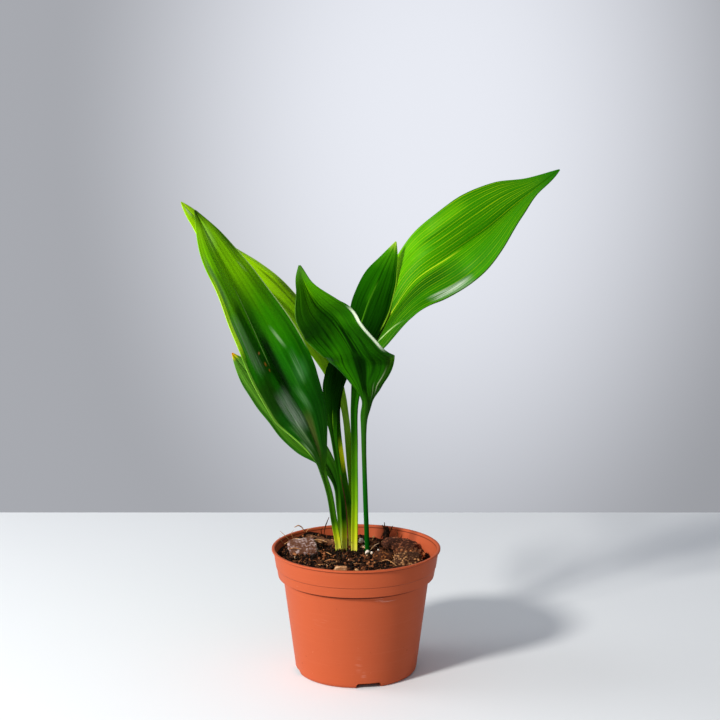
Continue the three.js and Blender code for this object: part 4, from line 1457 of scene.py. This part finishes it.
def bark_mesh(chip):
    """A rough lump with its grain along X: points, faces, and marks for its ridges and its run"""
    size = np.array(chip["size"], float)
    bm = bmesh.new()
    bmesh.ops.create_cube(bm, size=1)
    bmesh.ops.subdivide_edges(bm, edges=bm.edges[:], cuts=BARK_CUTS, use_grid_fill=True)
    cube, faces = points_and_faces(bm)
    body = cube * (1 - chip["round"]) + unit(cube) * EGG_RADIUS * chip["round"]
    seed = Vector((chip["seed"] * 7.3, 0, 0))
    grain = chip["grain"]
    points, marks = [], []
    # Ridges and cracks are drawn out along the grain, and the other marks are even
    for p in body:
        place = Vector(p * size)
        ridge = noise.noise(Vector((place.x * 0.12, place.y * 0.75, place.z * 0.75)) + seed)
        crack = noise.fractal(Vector((place.x * 0.3, place.y * 1.3, place.z * 1.3)) + seed, 0.7, 2, 3)
        broad = noise.noise(place * 0.16 + seed)
        rib = math.sin(place.x * 2 * math.pi / RIB_SPACING + 2 * broad) * chip["ribs"]
        near, far = noise.voronoi(place * 0.75 + seed)[0][:2]
        lump = 0.5 - near
        push = 0.22 * broad * min(size) / 2 + 0.6 * ridge * (1 - grain) + 0.4 * crack
        push += 1.5 * lump * grain + 0.7 * rib
        length = max(1e-6, math.hypot(*(p * size)))
        points.append(p * size * (1 + push / length))
        cell = noise.cell(place * 0.75 + seed)
        marks.append((0.45 + 0.5 * ridge + 0.35 * crack + 0.5 * lump * grain + 0.3 * rib, cell, 0))
    points = np.array(points)
    turn = [math.radians(a) for a in chip["turn"]]
    spin = Euler(turn).to_matrix()
    x, y = chip["at"]
    centre = np.array([x, y, soil_height(x, y) + chip["lift"]])
    placed = (points @ np.array(spin).T + centre) * MM
    return placed, faces, {"tint": marks, "run": points}


class PLANT_OT_bark(bpy.types.Operator):
    """Builds the loose pieces of bark and wood that lie on the potting mix"""

    bl_idname = "plant.bark"
    bl_label = "Bark"

    def execute(self, context):
        for name, chip in CHIPS.items():
            points, faces, marks = bark_mesh(chip)
            material = bark_finish(name + "_bark", chip)
            made = new_object(name + "_rough", points, faces, material, marks, math.radians(80))
            dress(made, "bark", name)
        return {"FINISHED"}


# Stage, in metres

TABLE_SIZE = (1.6, 1.2, 0.04)
TABLE_BACK = 0.464
KEY = {"place": (-1.2, -1.2, 1.14), "target": (0, 0, 0.1), "size": 0.3, "colour": (1, 0.97, 0.92)}
SIDE = {"place": (-1.5, 0.15, 0.7), "target": (0, 0, 0.15), "size": 1, "colour": (0.95, 0.97, 1)}
CAMERA_PLACE = (0.003, -1.265, 0.4665)
CAMERA_DOWN = math.radians(10)
LENS = 85  # in millimetres, as is the width of the sensor
SENSOR_WIDTH = 36
GLOW_MIDDLE = (0.04, -0.035)  # of the bright part of the room, to +X and up, as directions
GLOW_SPREAD = (4.6, 3.1)


def floor_finish(colour):
    finish = Finish("floor")
    place = finish.place()
    soft = finish.noise(place, 3.0, 2.0)
    base = finish.mix(soft, tuple(0.96 * c for c in colour), colour)
    return finish.surface({"Base Color": base, "Roughness": 0.7})


def area_light(name, power, place, target, size, colour):
    data = bpy.data.lights.new(name, "AREA")
    data.shape = "DISK"
    data.size = size
    data.energy = power
    data.color = colour
    light = bpy.data.objects.new(name, data)
    light.location = place
    light.rotation_euler = (Vector(target) - Vector(place)).to_track_quat("-Z", "Y").to_euler()
    bpy.context.scene.collection.objects.link(light)


class PLANT_OT_stage(bpy.types.Operator):
    """Sets up the plain floor, the soft lights and the camera"""

    bl_idname = "plant.stage"
    bl_label = "Stage"

    def execute(self, context):
        stage = context.scene.plant_stage
        self.table(stage)
        self.room(context.scene, stage)
        area_light("key", stage.key_power, **KEY)
        area_light("side", stage.side_power, **SIDE)
        self.camera(context.scene)
        context.scene.view_settings.view_transform = "Standard"
        return {"FINISHED"}

    def table(self, stage):
        """A pale slab whose far edge shows behind the plant"""
        bm = bmesh.new()
        bmesh.ops.create_cube(bm, size=1)
        _, depth, height = TABLE_SIZE
        bmesh.ops.scale(bm, vec=TABLE_SIZE, verts=bm.verts)
        bmesh.ops.translate(bm, vec=(0, TABLE_BACK - depth / 2, -height / 2), verts=bm.verts)
        bmesh.ops.bevel(bm, geom=bm.edges[:], offset=3 * MM, segments=3, affect="EDGES")
        finish = floor_finish(tuple(stage.floor_colour))
        new_object("floor", *points_and_faces(bm), finish)

    def room(self, scene, stage):
        """Soft light from all round, brighter behind the plant"""
        world = bpy.data.worlds.new("room")
        room = Finish(world)
        x, y, z = room.parts(room.add("ShaderNodeTexCoord", {}, (), "Generated"))
        sideways = (x - GLOW_MIDDLE[0]) * GLOW_SPREAD[0]
        upwards = (z - GLOW_MIDDLE[1]) * GLOW_SPREAD[1]
        away = (sideways**2 + upwards**2) ** 0.7
        glow = away.step(1, 0) * y.step(0.3, 0.6)
        around = stage.room_strength * (1 - x * 0.4)
        strength = around + glow * (stage.wall_strength - around)
        values = {"Color": (*stage.room_colour, 1), "Strength": strength}
        room.end(room.add("ShaderNodeBackground", {}, values))
        scene.world = world

    def camera(self, scene):
        data = bpy.data.cameras.new("camera")
        data.lens = LENS
        data.sensor_width = SENSOR_WIDTH
        camera = bpy.data.objects.new("camera", data)
        camera.location = CAMERA_PLACE
        camera.rotation_euler = (math.pi / 2 - CAMERA_DOWN, 0, 0)
        scene.collection.objects.link(camera)
        scene.camera = camera


class PLANT_PT_sidebar(bpy.types.Panel):
    """Lists the plant's settings and the operators that build it"""

    bl_label = "Potted plant"
    bl_idname = "PLANT_PT_sidebar"
    bl_space_type = "VIEW_3D"
    bl_region_type = "UI"
    bl_category = "Plant"

    def draw(self, context):
        for name, settings in SETTINGS.items():
            box = self.layout.box()
            for key in settings.__annotations__:
                box.prop(getattr(context.scene, name), key)
        for operator in OPERATORS:
            self.layout.operator(operator.bl_idname)


SETTINGS = {
    "plant_pot": PotSettings,
    "plant_soil": SoilSettings,
    "plant_leaf": LeafSettings,
    "plant_stage": StageSettings,
}
OPERATORS = (
    PLANT_OT_stage,
    PLANT_OT_pot,
    PLANT_OT_soil,
    PLANT_OT_litter,
    PLANT_OT_bark,
    PLANT_OT_leaves,
)
CLASSES = (*SETTINGS.values(), *OPERATORS, PLANT_PT_sidebar)


def register():
    for cls in CLASSES:
        bpy.utils.register_class(cls)
    for name, settings in SETTINGS.items():
        setattr(bpy.types.Scene, name, bpy.props.PointerProperty(type=settings))


def unregister():
    for name in SETTINGS:
        delattr(bpy.types.Scene, name)
    for cls in reversed(CLASSES):
        bpy.utils.unregister_class(cls)


def main():
    register()
    for operator in OPERATORS:
        group, name = operator.bl_idname.split(".")
        getattr(getattr(bpy.ops, group), name)()


if __name__ == "__main__":
    main()
